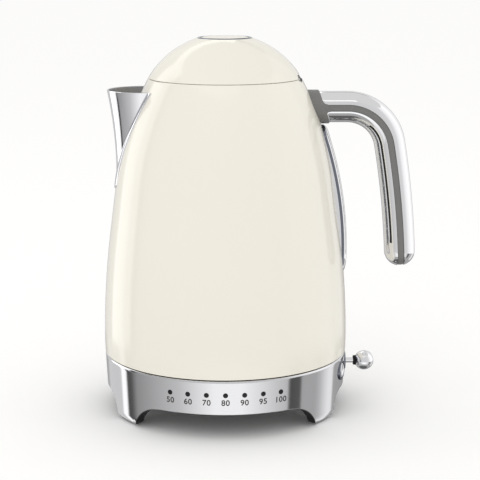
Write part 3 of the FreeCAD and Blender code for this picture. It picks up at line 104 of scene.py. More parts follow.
STRIPE_HALF = 2.35
BEND_START = 86.0
BEND_RADIUS = 31.0
BEND_ANGLE = math.radians(80)
GRIP_CURVE = 620.0
GRIP_END_ANGLE = math.radians(87.25)
DOT_HEIGHT = 32.0
DOT_PITCH = math.radians(8.6)
DIAL = ("50", "60", "70", "80", "90", "95", "100")
LEVER_HEIGHT = 31.5
SELECTOR = math.radians(343)
GLAND = math.radians(90)
GLAND_HEIGHT = 29.0

# A corner's third item is the radius of the arc that leads to it, counter-clockwise if positive.
JUG_SIDE = ((86.85, 42.8), (87.1, 50.0), (82.1, 127.3, 600.0), (77.3, 164.0), (53.8, SEAM_HEIGHT, 212.0))
SPOUT_SIDE = ((19.7, 150.0), (19.7, 172.0), (25.6, SPOUT_LIP, -281.0))
GAUGE_SIDE = ((84.9, GAUGE_LOW), (87.0, 115.0, 78.0), (71.4, GAUGE_HIGH, 264.0))

# An arch is the azimuth of its middle, and the half widths of its crown and of its foot in degrees.
ARCHES = ((FRONT, 30.0, 50.5), (-FRONT, 30.0, 50.5), (0.0, 17.0, 29.0), (math.pi, 17.0, 29.0))

# Notches for the hinge's knuckles and pin, as (radius, half length).
JUG_NOTCHES = ((3.05, 14.0), (1.7, 16.8))
LID_NOTCHES = ((2.9, 14.0), (1.5, 16.5))


# Settings that a user would change


class KettleFinishes(bpy.types.PropertyGroup):
    """Colours of the kettle's finishes."""

    enamel: FloatVectorProperty(name="Enamel", description="Colour of the jug and lid", subtype="COLOR",
                                default=(0.83, 0.80, 0.712), min=0, max=1)
    button: FloatVectorProperty(name="Button", description="Colour of the lid's button", subtype="COLOR",
                                default=COLOURS["cream_plastic"], min=0, max=1)
    steel: FloatVectorProperty(name="Steel", description="Colour of the base ring", subtype="COLOR",
                               default=(0.74, 0.74, 0.75), min=0, max=1)
    chrome: FloatVectorProperty(name="Chrome", description="Colour of the bright metal", subtype="COLOR",
                                default=(0.86, 0.86, 0.87), min=0, max=1)
    core: FloatVectorProperty(name="Core", description="Colour of the handle's core", subtype="COLOR",
                              default=(0.165, 0.163, 0.158), min=0, max=1)
    black: FloatVectorProperty(name="Black", description="Colour of the black plastic", subtype="COLOR",
                               default=COLOURS["black_plastic"], min=0, max=1)
    ink: FloatVectorProperty(name="Ink", description="Colour of the printed numbers", subtype="COLOR",
                             default=(0.045, 0.045, 0.047), min=0, max=1)


class KettleSizes(bpy.types.PropertyGroup):
    """Sizes of the details that aren't set by the frame."""

    segments: IntProperty(name="Segments", description="Faces round the jug", default=256, min=32,
                          max=512)
    number_height: FloatProperty(name="Number height", description="Height of the printed numbers",
                                 default=0.0039, unit="LENGTH")
    number_level: FloatProperty(name="Number level", description="Middle of the numbers above the floor",
                                default=0.0268, unit="LENGTH")
    edge: FloatProperty(name="Edge", description="Rounding of the handle's edges", default=0.00028,
                        unit="LENGTH")
    groove: FloatProperty(name="Groove", description="Depth of the dark groove inside the handle",
                          default=0.0006, unit="LENGTH")
    wire: FloatProperty(name="Wire", description="Radius of the filter's wires", default=0.0002,
                        unit="LENGTH")


class KettleStage(bpy.types.PropertyGroup):
    """Camera and light."""

    distance: FloatProperty(name="Distance", description="Camera in front of the jug's axis",
                            default=1.0262, unit="LENGTH")
    height: FloatProperty(name="Height", description="Camera above the floor", default=0.3323,
                          unit="LENGTH")
    pitch: FloatProperty(name="Pitch", description="Camera's tilt below the horizon",
                         default=math.radians(11.63), unit="ROTATION")
    pan: FloatProperty(name="Pan", description="Camera's turn to the right", default=math.radians(0.592),
                       unit="ROTATION")
    lens: FloatProperty(name="Lens", description="Focal length in millimetres", default=109.52)
    ambient: FloatProperty(name="Ambient", description="Even light from all round", default=1.0)
    key: FloatProperty(name="Key", description="Power of the lamp above the camera", default=2.5)


def sizes():
    """The scene's settings for sizes."""
    return bpy.context.scene.kettle_sizes


# Outlines


def arc_run(start, end, radius, step):
    """Points after start along the arc to end."""
    first = Vector(start[:2])
    last = Vector(end[:2])
    half = (last - first) / 2
    lean = math.copysign(math.sqrt(radius ** 2 - half.length_squared), radius) / half.length
    centre = first + half + Vector((-half.y, half.x)) * lean
    begin = math.atan2(first.y - centre.y, first.x - centre.x)
    turn = 2 * math.asin(min(1, half.length / abs(radius))) * math.copysign(1, radius)
    count = max(2, math.ceil(abs(turn * radius) / step))
    return [(centre.x + abs(radius) * math.cos(begin + turn * index / count),
             centre.y + abs(radius) * math.sin(begin + turn * index / count))
            for index in range(1, count + 1)]


def line_run(start, end, step):
    """Points after start along the line to end."""
    count = max(1, math.ceil(math.dist(start[:2], end[:2]) / step))
    return [tuple(start[axis] + (end[axis] - start[axis]) * index / count for axis in (0, 1))
            for index in range(1, count + 1)]


def outline(corners, step):
    """Points along an outline of corners, about a step apart."""
    points = [tuple(corners[0][:2])]
    for start, end in zip(corners, corners[1:]):
        points += arc_run(start, end, end[2], step) if len(end) == 3 else line_run(start, end, step)
    return points


def eased(points, radius):
    """A closed outline with its sharp corners rounded."""
    steps = 3
    blunt = math.radians(150)
    most_of_side = 0.45
    result = []
    for index, point in enumerate(points):
        here = Vector(point)
        before = Vector(points[index - 1]) - here
        after = Vector(points[(index + 1) % len(points)]) - here
        on_axis = point[0] < TINY
        if on_axis or min(before.length, after.length) < TINY or before.angle(after) > blunt:
            result.append(point)
            continue
        reach = min(radius, before.length * most_of_side, after.length * most_of_side)
        first = here + before.normalized() * reach
        last = here + after.normalized() * reach
        for step in range(steps + 1):
            share = step / steps
            left = 1 - share
            result.append(tuple(first * left ** 2 + here * (2 * share * left) + last * share ** 2))
    return result


class Side:
    """Radius and slope of a side at any height."""

    def __init__(self, corners):
        fine_step = 0.25
        points = np.array(outline(corners, fine_step))
        self.radii = points[:, 0]
        self.heights = points[:, 1]

    def radius(self, height):
        return float(np.interp(height, self.heights, self.radii))

    def slope(self, height):
        """Growth of the radius over one millimetre of height."""
        return self.radius(height + 0.5) - self.radius(height - 0.5)


jug = Side(JUG_SIDE)
spout = Side(SPOUT_SIDE)
gauge = Side(GAUGE_SIDE)


def ring_face(height):
    """Outer radius of the base ring at a height."""
    return BASE_RADIUS - BASE_TAPER * (1 - height / BASE_HEIGHT)


def dome_height(radius):
    """Height of the lid's outside at a radius."""
    return DOME_CENTRE + math.sqrt(DOME_RADIUS ** 2 - radius ** 2)


def dome_arc(radius, begin, end, count):
    """Points on a circle about the dome's centre, between two angles from its top."""
    return [(radius * math.sin(turn), DOME_CENTRE + radius * math.cos(turn))
            for turn in np.linspace(begin, end, count)]


def polar(radius, azimuth, height):
    """A point at a distance from the upright axis."""
    return (radius * math.cos(azimuth), radius * math.sin(azimuth), height)


def slot_loop(low, high, half):
    """(y, z) points round an upright slot with round ends."""
    count = 24
    points = []
    for centre, other, begin in ((high - half, low + half, 0.0), (low + half, high - half, math.pi)):
        points += [(half * math.cos(begin + math.pi * step / count),
                    centre + half * math.sin(begin + math.pi * step / count))
                   for step in range(count + 1)]
        last = points[-1][1]
        side = -half if begin == 0 else half
        points += [(side, last + (other - last) * step / count) for step in range(1, count)]
    return points


# Meshes


def to_mesh(name, bm, closed=True):
    """A finished mesh with its doubles merged and its faces outwards."""
    bmesh.ops.remove_doubles(bm, verts=bm.verts, dist=TINY)
    bmesh.ops.dissolve_degenerate(bm, edges=bm.edges, dist=TINY / 4)
    if closed:
        bmesh.ops.recalc_face_normals(bm, faces=bm.faces)
    mesh = bpy.data.meshes.new(name)
    bm.to_mesh(mesh)
    bm.free()
    return mesh


def softened(mesh, angle=SHARP_ANGLE):
    """Smooth shading, broken at edges sharper than angle."""
    mesh.shade_smooth()
    mesh.set_sharp_from_angle(angle=math.radians(angle))
    return mesh


def add_grid(bm, rows, closed_across=False, closed_along=False, material=None):
    """Faces between rows of points in millimetres; material(row, column) gives a face's material."""
    grid = [[bm.verts.new(Vector(point) * MM) for point in row] for row in rows]
    row_count = len(grid) if closed_along else len(grid) - 1
    for index in range(row_count):
        low = grid[index]
        high = grid[(index + 1) % len(grid)]
        column_count = len(low) if closed_across else len(low) - 1
        for column in range(column_count):
            beside = (column + 1) % len(low)
            face = bm.faces.new((low[column], low[beside], high[beside], high[column]))
            if material is not None:
                face.material_index = material(index, column)
    return grid


def add_tube(bm, rows):
    """Faces round rows of points, closed at the first and the last row."""
    grid = add_grid(bm, rows, closed_across=True)
    bm.faces.new(grid[0])
    bm.faces.new(grid[-1])


def tube(name, rows):
    """A mesh of one closed tube."""
    bm = bmesh.new()
    add_tube(bm, rows)
    return to_mesh(name, bm)


def add_block(bm, size, height=0.0):
    """A block of a size in millimetres, at a height on the upright axis."""
    made = bmesh.ops.create_cube(bm, size=1)["verts"]
    bmesh.ops.scale(bm, verts=made, vec=Vector(size) * MM)
    bmesh.ops.translate(bm, verts=made, vec=(0, 0, height * MM))


def prism(name, corners, low, high):
    """A level prism along X; corners are (y, z) in millimetres."""
    return tube(name, [[(x, y, z) for y, z in corners] for x in (low, high)])


def hinge_cutters(notches):
    """Round bars about the hinge's axis."""
    sides = 48
    turns = [math.tau * turn / sides for turn in range(sides)]
    return [tube("notch", [[(HINGE_X + radius * math.cos(turn), y, SEAM_HEIGHT + radius * math.sin(turn))
                            for turn in turns] for y in (-half, half)])
            for radius, half in notches]


def turned(name, points, segments, angle=SHARP_ANGLE):
    """A closed outline turned about the upright axis."""
    bm = bmesh.new()
    rings = []
    for radius, height in points:
        turns = 1 if radius < TINY else segments
        rings.append([bm.verts.new((radius * MM * math.cos(math.tau * turn / segments),
                                    radius * MM * math.sin(math.tau * turn / segments), height * MM))
                      for turn in range(turns)])
    for low, high in zip(rings, rings[1:] + rings[:1]):
        if len(low) == len(high) == 1:
            continue
        for turn in range(segments):
            beside = (turn + 1) % segments
            corners = (low[turn % len(low)], low[beside % len(low)],
                       high[beside % len(high)], high[turn % len(high)])
            bm.faces.new(tuple(dict.fromkeys(corners)))
    return softened(to_mesh(name, bm), angle)


def outwards(mesh, azimuth, height):
    """Lay a turned mesh's axis level, pointing outwards at azimuth."""
    mesh.transform(Matrix.Translation((0, 0, height * MM)) @ Matrix.Rotation(azimuth, 4, "Z")
                   @ Matrix.Rotation(math.radians(90), 4, "Y"))
    return mesh


def ring_hole(radius, azimuth, height, segments=48):
    """A cutter for a round hole through the base ring."""
    inner = 70
    outer = 100
    section = [(0, inner), (radius, inner), (radius, outer), (0, outer)]
    return outwards(turned("hole", section, segments), azimuth, height)


def loose(data):
    """A helper object, which isn't a piece."""
    thing = bpy.data.objects.new(data.name, data)
    bpy.context.scene.collection.objects.link(thing)
    return thing


def plain_mesh(thing):
    """The mesh that a helper object has after its modifiers; the helper goes."""
    bpy.context.view_layer.update()
    graph = bpy.context.evaluated_depsgraph_get()
    mesh = bpy.data.meshes.new_from_object(thing.evaluated_get(graph))
    mesh.name = thing.data.name
    bpy.data.objects.remove(thing)
    return mesh


def carved(mesh, cutters):
    """mesh without the space that the cutters take."""
    thing = loose(mesh)
    tools = [loose(cutter) for cutter in cutters]
    for tool in tools:
        cut = thing.modifiers.new("Carve", "BOOLEAN")
        cut.operation = "DIFFERENCE"
        cut.solver = "EXACT"
        cut.object = tool
    result = plain_mesh(thing)
    for tool in tools:
        bpy.data.objects.remove(tool)
    return result


def bevelled(mesh, width, angle):
    """mesh with its edges that are sharper than angle rounded."""
    thing = loose(mesh)
    bevel = thing.modifiers.new("Round", "BEVEL")
    bevel.width = width
    bevel.segments = 2
    bevel.limit_method = "ANGLE"
    bevel.angle_limit = math.radians(angle)
    return softened(plain_mesh(thing))


def facing_out(face):
    """1 for a face that looks away from the upright axis, and -1 for one that looks towards it."""
    return face.normal.dot(Vector((face.center.x, face.center.y, 0)).normalized())


def jug_normal(point):
    """Outward normal of the jug's side at the height of a point."""
    across = Vector((point.x, point.y, 0)).normalized()
    return (across - Vector((0, 0, jug.slope(point.z / MM)))).normalized()


def dome_normal(point):
    """Outward normal of the lid's dome under a point."""
    return (point - Vector((0, 0, DOME_CENTRE * MM))).normalized()


def true_normals(mesh, surface_normal):
    """Shade the faces that lie along a true surface, on either side, with that surface's normals."""
    mesh.shade_smooth()
    normals = []
    for face in mesh.polygons:
        for index in face.vertices:
            normal = surface_normal(mesh.vertices[index].co)
            lean = normal.dot(face.normal)
            if abs(lean) < SAME_SURFACE:
                normals.append(face.normal)
            else:
                normals.append(normal if lean > 0 else -normal)
    mesh.normals_split_custom_set(normals)


def piece(name, mesh, body, slot, *materials, replaces=()):
    """A finished piece that rides on a body and stands for the nodes it replaces."""
    thing = bpy.data.objects.new(name, mesh)
    bpy.context.scene.collection.objects.link(thing)
    finish_of_face = [face.material_index for face in mesh.polygons]
    mesh.materials.clear()
    for material in materials:
        mesh.materials.append(bpy.data.materials[material])
    mesh.polygons.foreach_set("material_index", finish_of_face)
    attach(thing, body)
    if replaces:
        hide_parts(*replaces)
    return thing


# Node trees


class Wiring:
    """A node tree with short ways to add its nodes and to link them."""

    def __init__(self, tree):
        self.tree = tree

    def feed(self, socket, value):
        """Link another node's output to a socket, or set a plain value on it."""
        if isinstance(value, bpy.types.NodeSocket):
            self.tree.links.new(value, socket)
        else:
            socket.default_value = value

    def add(self, kind, inputs=None, **settings):
        """The outputs of a new node; inputs has what feeds each socket, by its label or number."""
        node = self.tree.nodes.new(kind)
        for name, value in settings.items():
            setattr(node, name, value)
        for label, value in (inputs or {}).items():
            self.feed(node.inputs[label], value)
        return node.outputs

    def math(self, operation, first, second=0.0):
        """The result of a Math node."""
        return self.add("ShaderNodeMath", {0: first, 1: second}, operation=operation)[0]

    def noise(self, vector, scale, detail):
        """Noise from 0 to 1."""
        inputs = {"Vector": vector, "Scale": scale, "Detail": detail}
        return self.add("ShaderNodeTexNoise", inputs)["Fac"]

    def spread(self, noise, base, amount):
        """base plus amount times the noise, which swings evenly about nought."""
        swing = self.math("SUBTRACT", noise, 0.5)
        return self.math("ADD", self.math("MULTIPLY", swing, amount), base)


def new_group(name, kind, inputs, outputs):
    """The wiring of an empty group with its sockets, what comes into it, and what goes out."""
    group = bpy.data.node_groups.new(name, kind)
    for label, holds, value in inputs:
        socket = group.interface.new_socket(label, in_out="INPUT", socket_type=f"NodeSocket{holds}")
        if value is not None:
            socket.default_value = value
    for label, holds in outputs:
        group.interface.new_socket(label, in_out="OUTPUT", socket_type=f"NodeSocket{holds}")
    source = group.nodes.new("NodeGroupInput").outputs
    sink = group.nodes.new("NodeGroupOutput").inputs
    return Wiring(group), source, sink


# Finishes

RELIEF = 0.0002
GRAIN_OUTPUTS = (("Roughness", "Float"), ("Height", "Float"))


def make_grain_group():
    """Fine even grain, as on moulded plastic, lacquer or enamel."""
    wiring, source, sink = new_group("Fine grain", "ShaderNodeTree", (
        ("Vector", "Vector", None), ("Scale", "Float", 900.0),
        ("Roughness", "Float", 0.4), ("Variation", "Float", 0.1),
    ), GRAIN_OUTPUTS)
    broad_scale = 22.0
    broad = wiring.noise(source["Vector"], broad_scale, detail=2)
    wiring.feed(sink["Roughness"], wiring.spread(broad, source["Roughness"], source["Variation"]))
    wiring.feed(sink["Height"], wiring.noise(source["Vector"], source["Scale"], detail=3))


def make_brush_group():
    """Long fine lines round the upright axis, as on brushed steel."""
    wiring, source, sink = new_group("Brushed lines", "ShaderNodeTree", (
        ("Vector", "Vector", None), ("Lines", "Float", 2600.0),
        ("Roughness", "Float", 0.2), ("Variation", "Float", 0.1),
    ), GRAIN_OUTPUTS)
    along_scale = 9.0
    parts = wiring.add("ShaderNodeSeparateXYZ", {0: source["Vector"]})
    stretched = {axis: wiring.math("MULTIPLY", parts[axis], along_scale) for axis in "XY"}
    stretched["Z"] = wiring.math("MULTIPLY", parts["Z"], source["Lines"])
    lines = wiring.noise(wiring.add("ShaderNodeCombineXYZ", stretched)[0], 1.0, detail=3)
    wiring.feed(sink["Roughness"], wiring.spread(lines, source["Roughness"], source["Variation"]))
    wiring.feed(sink["Height"], lines)


def make_tone_group():
    """A slight drift of tone over the surface."""
    wiring, source, sink = new_group("Tone", "ShaderNodeTree", (
        ("Vector", "Vector", None), ("Colour", "Color", (1, 1, 1, 1)), ("Drift", "Float", 0.04),
    ), (("Colour", "Color"),))
    broad_scale = 14.0
    broad = wiring.noise(source["Vector"], broad_scale, detail=3)
    factor = wiring.spread(broad, 1.0, source["Drift"])
    shade = wiring.add("ShaderNodeVectorMath", {0: source["Colour"], "Scale": factor}, operation="SCALE")
    wiring.feed(sink["Colour"], shade[0])


def make_finish(name, colour, roughness, variation, metallic=0.0, brushed=False, scale=900.0, depth=0.02,
                drift=0.04, **sockets):
    """A material whose colour, gloss and relief vary finely over the surface."""
    material = bpy.data.materials.new(name)
    material.use_nodes = True
    wiring = Wiring(material.node_tree)
    where = wiring.add("ShaderNodeTexCoord")["Object"]
    tone = wiring.add("ShaderNodeGroup", {"Vector": where, "Colour": (*colour, 1), "Drift": drift},
                      node_tree=bpy.data.node_groups["Tone"])
    relief, spacing = ("Brushed lines", "Lines") if brushed else ("Fine grain", "Scale")
    grain = wiring.add("ShaderNodeGroup", {
        "Vector": where, spacing: scale, "Roughness": roughness, "Variation": variation,
    }, node_tree=bpy.data.node_groups[relief])
    bump = wiring.add("ShaderNodeBump", {
        "Strength": depth, "Distance": RELIEF, "Height": grain["Height"]})
    shader = material.node_tree.nodes["Principled BSDF"].inputs
    wiring.feed(shader["Base Color"], tone["Colour"])
    wiring.feed(shader["Roughness"], grain["Roughness"])
    wiring.feed(shader["Normal"], bump["Normal"])
    shader["Metallic"].default_value = metallic
    for label, value in sockets.items():
        shader[label.replace("_", " ")].default_value = value
    material.diffuse_color = (*colour, 1)


FINISH_OF_SLOT = {
    "enamel": "Cream enamel",
    "cream_plastic": "Cream plastic",
    "steel": "Satin steel",
    "chrome": "Polished chrome",
    "chrome_plastic": "Chromed plastic",
    "grey_plastic": "Grey plastic",
    "black_plastic": "Black plastic",
    "rubber": "Foot rubber",
    "silicone": "Pale silicone",
    "brass": "Contact brass",
    "board": "Circuit board",
    "lens": "Smoked lens",
    "lamp": "Lamp resin",
    "window": "Gauge glass",
}
FINISH_OF_NODE = {"lever_escutcheon": "Dark trim"}


class KETTLE_OT_mix_finishes(bpy.types.Operator):
    """Make the kettle's materials and give each node of the frame its own"""

    bl_idname = "kettle.mix_finishes"
    bl_label = "Mix Finishes"

    def execute(self, context):
        make_grain_group()
        make_brush_group()
        make_tone_group()
        self.metals(context.scene.kettle_finishes)
        self.plastics(context.scene.kettle_finishes)
        for name, node in NODES.items():
            node.data.materials.clear()
            finish = FINISH_OF_NODE.get(name, FINISH_OF_SLOT[NODE_SLOTS[name]])
            node.data.materials.append(bpy.data.materials[finish])
        return {"FINISHED"}

    def metals(self, tints):
        """Steel, chrome and brass."""
        make_finish("Satin steel", tints.steel, 0.09, 0.04, 1.0, brushed=True, scale=2600.0, depth=0.025,
                    drift=0.03)
        make_finish("Inner steel", (0.44, 0.44, 0.45), 0.3, 0.12, 1.0, brushed=True, scale=1800.0,
                    depth=0.06)
        make_finish("Polished chrome", tints.chrome, 0.05, 0.03, 1.0, scale=60.0, depth=0.004, drift=0.02)
        # Dark bluish metal: real trim on the lever, selector and button rings, and a painted reflection
        # in the gauge frame's edge.
        make_finish("Dark trim", (0.2, 0.21, 0.245), 0.12, 0.04, 1.0, scale=60.0, depth=0.004)
        make_finish("Chromed plastic", tints.chrome, 0.06, 0.03, 1.0, scale=45.0, depth=0.006, drift=0.02)
        make_finish("Spout steel", (0.77, 0.77, 0.785), 0.1, 0.04, 1.0, scale=240.0, depth=0.006,
                    drift=0.03)
        # Darker steel for the spout's inside: painted shade in its hollow.
        make_finish("Spout lining", (0.27, 0.27, 0.28), 0.34, 0.1, 1.0, brushed=True, scale=1500.0,
                    depth=0.05)
        make_finish("Contact brass", COLOURS["brass"], 0.25, 0.12, 1.0, scale=500.0, depth=0.03,
                    drift=0.1)

    def plastics(self, tints):
        """Enamel, plastics, rubber, glass and print."""
        make_finish("Cream enamel", tints.enamel, 0.13, 0.04, scale=420.0, depth=0.012, drift=0.015,
                    IOR=1.5, Coat_Weight=0.15, Coat_Roughness=0.04)
        make_finish("Cream plastic", tints.button, 0.2, 0.06, scale=700.0, depth=0.015, drift=0.015)
        make_finish("Grey plastic", tints.core, 0.42, 0.1, scale=1500.0, depth=0.05)
        make_finish("Black plastic", tints.black, 0.45, 0.14, scale=1300.0, depth=0.09, drift=0.2)
        make_finish("Collar black", (0.006, 0.006, 0.006), 0.5, 0.12, scale=1300.0, depth=0.05, drift=0.2,
                    Specular_IOR_Level=0.25)
        # Near black with little shine: painted shade under the steel ring's arches and feet.
        make_finish("Arch lining", (0.008, 0.008, 0.008), 0.6, 0.15, depth=0.06, drift=0.2,
                    Specular_IOR_Level=0.2)
        # Near black for the handle's groove: painted shade and a painted dark reflection in a real
        # groove.
        make_finish("Groove shadow", (0.006, 0.006, 0.006), 0.6, 0.1, depth=0.03, drift=0.1)
        make_finish("Foot rubber", (0.035, 0.035, 0.036), 0.75, 0.15, scale=700.0, depth=0.2, drift=0.2)
        make_finish("Pale silicone", COLOURS["silicone"], 0.5, 0.1, scale=600.0, depth=0.04)
        make_finish("Circuit board", COLOURS["board"], 0.35, 0.1, scale=300.0, depth=0.05, drift=0.3)
        make_finish("Smoked lens", (0.008, 0.008, 0.009), 0.3, 0.08, scale=500.0, depth=0.01, drift=0.1,
                    Specular_IOR_Level=0.3)
        make_finish("Lamp resin", COLOURS["lamp"], 0.2, 0.05, scale=500.0, depth=0.01)
        make_finish("Dial print", tints.ink, 0.5, 0.1, drift=0.1)
        make_finish("Gauge marks", (0.8, 0.8, 0.78), 0.5, 0.1)
        make_finish("Gauge glass", (0.86, 0.88, 0.88), 0.06, 0.03, scale=300.0, depth=0.004, drift=0.02,
                    Transmission_Weight=0.85, IOR=1.5)


# Repeats

GEOMETRY_OUT = (("Geometry", "Geometry"),)


def end_tree(wiring, source, sink, geometry):
    """Realize Instances, then Set Material."""
    real = wiring.add("GeometryNodeRealizeInstances", {0: geometry})
    dress = wiring.add("GeometryNodeSetMaterial", {"Geometry": real[0], "Material": source["Material"]})
    wiring.feed(sink["Geometry"], dress[0])


def make_round_tree():
    """Copies of a piece at even angles round the upright axis, each facing outwards."""
    wiring, source, sink = new_group("Pieces round the axis", "GeometryNodeTree", (
        ("Piece", "Object", None), ("Count", "Int", 4), ("Radius", "Float", 0.04),
        ("Height", "Float", 0.0), ("First angle", "Float", 0.0), ("Pitch", "Float", 1.0),
        ("Material", "Material", None),
    ), GEOMETRY_OUT)
    steps = wiring.math("MULTIPLY", wiring.add("GeometryNodeInputIndex")[0], source["Pitch"])
    angle = wiring.math("ADD", steps, source["First angle"])
    place = {"Z": source["Height"]}
    for axis, operation in (("X", "COSINE"), ("Y", "SINE")):
        place[axis] = wiring.math("MULTIPLY", wiring.math(operation, angle), source["Radius"])
    position = wiring.add("ShaderNodeCombineXYZ", place)[0]
    points = wiring.add("GeometryNodePoints", {"Count": source["Count"], "Position": position})
    turn = wiring.add("ShaderNodeCombineXYZ", {"Z": angle})
    held = wiring.add("GeometryNodeObjectInfo", {"Object": source["Piece"]})
    copies = wiring.add("GeometryNodeInstanceOnPoints", {
        "Points": points[0], "Instance": held["Geometry"], "Rotation": turn[0]})
    end_tree(wiring, source, sink, copies[0])


def make_path_tree():
    """Copies of a piece evenly along a path."""
    wiring, source, sink = new_group("Pieces along a path", "GeometryNodeTree", (
        ("Path", "Object", None), ("Piece", "Object", None), ("Count", "Int", 6),
        ("Material", "Material", None),
    ), GEOMETRY_OUT)
    path = wiring.add("GeometryNodeObjectInfo", {"Object": source["Path"]})
    points = wiring.add("GeometryNodeCurveToPoints", {
        "Curve": path["Geometry"], "Count": source["Count"]}, mode="COUNT")
    held = wiring.add("GeometryNodeObjectInfo", {"Object": source["Piece"]})
    copies = wiring.add("GeometryNodeInstanceOnPoints", {
        "Points": points["Points"], "Instance": held["Geometry"]})
    end_tree(wiring, source, sink, copies[0])


def make_wire_tree():
    """Round wires along every edge of a net."""
    wiring, source, sink = new_group("Woven wires", "GeometryNodeTree", (
        ("Net", "Object", None), ("Wire radius", "Float", 0.0002), ("Material", "Material", None),
    ), GEOMETRY_OUT)
    net = wiring.add("GeometryNodeObjectInfo", {"Object": source["Net"]})
    lines = wiring.add("GeometryNodeMeshToCurve", {0: net["Geometry"]})
    section = wiring.add("GeometryNodeCurvePrimitiveCircle", {
        "Resolution": 6, "Radius": source["Wire radius"]})
    wires = wiring.add("GeometryNodeCurveToMesh", {
        "Curve": lines[0], "Profile Curve": section[0], "Fill Caps": True})
    end_tree(wiring, source, sink, wires[0])


def grown(name, tree_name, finish, **values):
    """The plain mesh that a tree makes from its named inputs; helpers among them go."""
    tree = bpy.data.node_groups[tree_name]
    thing = loose(bpy.data.meshes.new(name))
    modifier = thing.modifiers.new("Grow", "NODES")
    modifier.node_group = tree
    values["material"] = bpy.data.materials[finish]
    for item in tree.interface.items_tree:
        key = item.name.lower().replace(" ", "_")
        if key in values:
            modifier[item.identifier] = values[key]
    mesh = plain_mesh(thing)
    for value in values.values():
        if isinstance(value, bpy.types.Object):
            bpy.data.objects.remove(value)
    return mesh


def screw_mesh(shank, length):
    """A screw that points up from its head's seat at nought, with a cross recess in the head below."""
    head = shank * 1.9
    head_height = 1.6
    body = turned("screw", eased([(0, -head_height), (head * 0.75, -head_height),
                                  (head, -head_height * 0.6), (head, 0), (shank, 0), (shank, length - 1),
                                  (0, length)], 0.2), segments=40)
    recess_length = 2 * (head * 0.62)
    recess_width = 2 * 0.42
    recess_depth = 1.6
    bm = bmesh.new()
    for x, y in ((recess_length, recess_width), (recess_width, recess_length)):
        add_block(bm, (x, y, recess_depth), -head_height)
    cross = bpy.data.meshes.new("cross")
    bm.to_mesh(cross)
    bm.free()
    return softened(carved(body, [cross]))


def screw_set(name, body, node, count, circle, first, seat, shank, length):
    """A piece of equal screws on a circle, with their heads' seats at one height."""
    mesh = grown(name, "Pieces round the axis", "Satin steel", piece=loose(screw_mesh(shank, length)),
                 count=count, radius=circle * MM, height=seat * MM, first_angle=first,
                 pitch=math.tau / count)
    piece(name, mesh, body, "steel", "Satin steel", replaces=(node,))


class KETTLE_OT_make_screws(bpy.types.Operator):
    """Make the screws under the base, the jug and the lid"""

    bl_idname = "kettle.make_screws"
    bl_label = "Screws"

    def execute(self, context):
        make_round_tree()
        make_path_tree()
        make_wire_tree()
        screw_set("base_fixing_screws", "base", "base_screws", count=4, circle=46.0,
                  first=math.radians(45), seat=19.0, shank=1.5, length=12.0)
        screw_set("jug_fixing_screws", "jug", "jug_screws", count=3, circle=72.0,
                  first=math.radians(90), seat=43.2, shank=1.75, length=20.8)
        screw_set("lid_fixing_screws", "lid", "lid_screws", count=3, circle=30.0, first=0.0, seat=231.0,
                  shank=1.4, length=14.0)
        return {"FINISHED"}


# Power base


def arch_profile(share, width):
    """Height of an arch's edge at a share of the way from its crown to its foot."""
    hollow_share = 0.78
    drop = ARCH_HEIGHT - FOOT_LOW
    slant = (width ** 2 + drop ** 2) / (2 * drop)
    hollow = slant * hollow_share
    bulge = slant - hollow
    if share < hollow_share:
        return ARCH_HEIGHT - hollow + math.sqrt(hollow ** 2 - (share * width) ** 2)
    return FOOT_LOW + bulge - math.sqrt(bulge ** 2 - ((1 - share) * width) ** 2)


def ring_low(azimuth):
    """Lower edge of the base ring at an azimuth."""
    for middle, crown, foot in ARCHES:
        off = abs(math.remainder(azimuth - middle, math.tau))
        if off <= math.radians(crown):
            return ARCH_HEIGHT
        if off <= math.radians(foot):
            begin = math.tan(math.radians(crown))
            end = math.tan(math.radians(foot))
            width = (end - begin) * BASE_RADIUS * math.cos(off)
            return arch_profile((math.tan(off) - begin) / (end - begin), width)
    return FOOT_LOW


def ring_outside(height):
    """Outer radius of ring and feet, with the feet's rounded lower edge."""
    upright = FOOT_LOW + FOOT_ROUND
    if height >= upright:
        return ring_face(height)
    below = upright - height
    return ring_face(upright) - FOOT_ROUND + math.sqrt(max(FOOT_ROUND ** 2 - below ** 2, 0))


def ring_column(azimuth):
    """The base ring's section at an azimuth, as points (radius, height)."""
    low = ring_low(azimuth)
    edge = 0.35
    bore = 82.4
    foot_bore = 77.8
    ledge = 19.0
    bore_middle = 30.0
    sole = 2
    rim = 1.2
    face_rows = 22
    rim_rows = 7
    points = [(foot_bore, low), (foot_bore + sole, low), (ring_outside(low + edge) - edge, low),
              (ring_outside(low + edge), low + edge)]
    top = BASE_HEIGHT - rim
    points += [(ring_outside(height), height) for height in np.linspace(low + edge, top, face_rows)[1:]]
    face = ring_face(top)
    points += [(face - rim + rim * math.cos(turn), top + rim * math.sin(turn))
               for turn in np.linspace(0, math.pi / 2, rim_rows)[1:]]
    points += [(bore, BASE_HEIGHT), (bore, bore_middle), (bore, ledge), (foot_bore, ledge)]
    return points


def dot_azimuths():
    """Azimuths of the dots, from left to right."""
    middle = (len(DIAL) - 1) / 2
    return [FRONT + (index - middle) * DOT_PITCH for index in range(len(DIAL))]


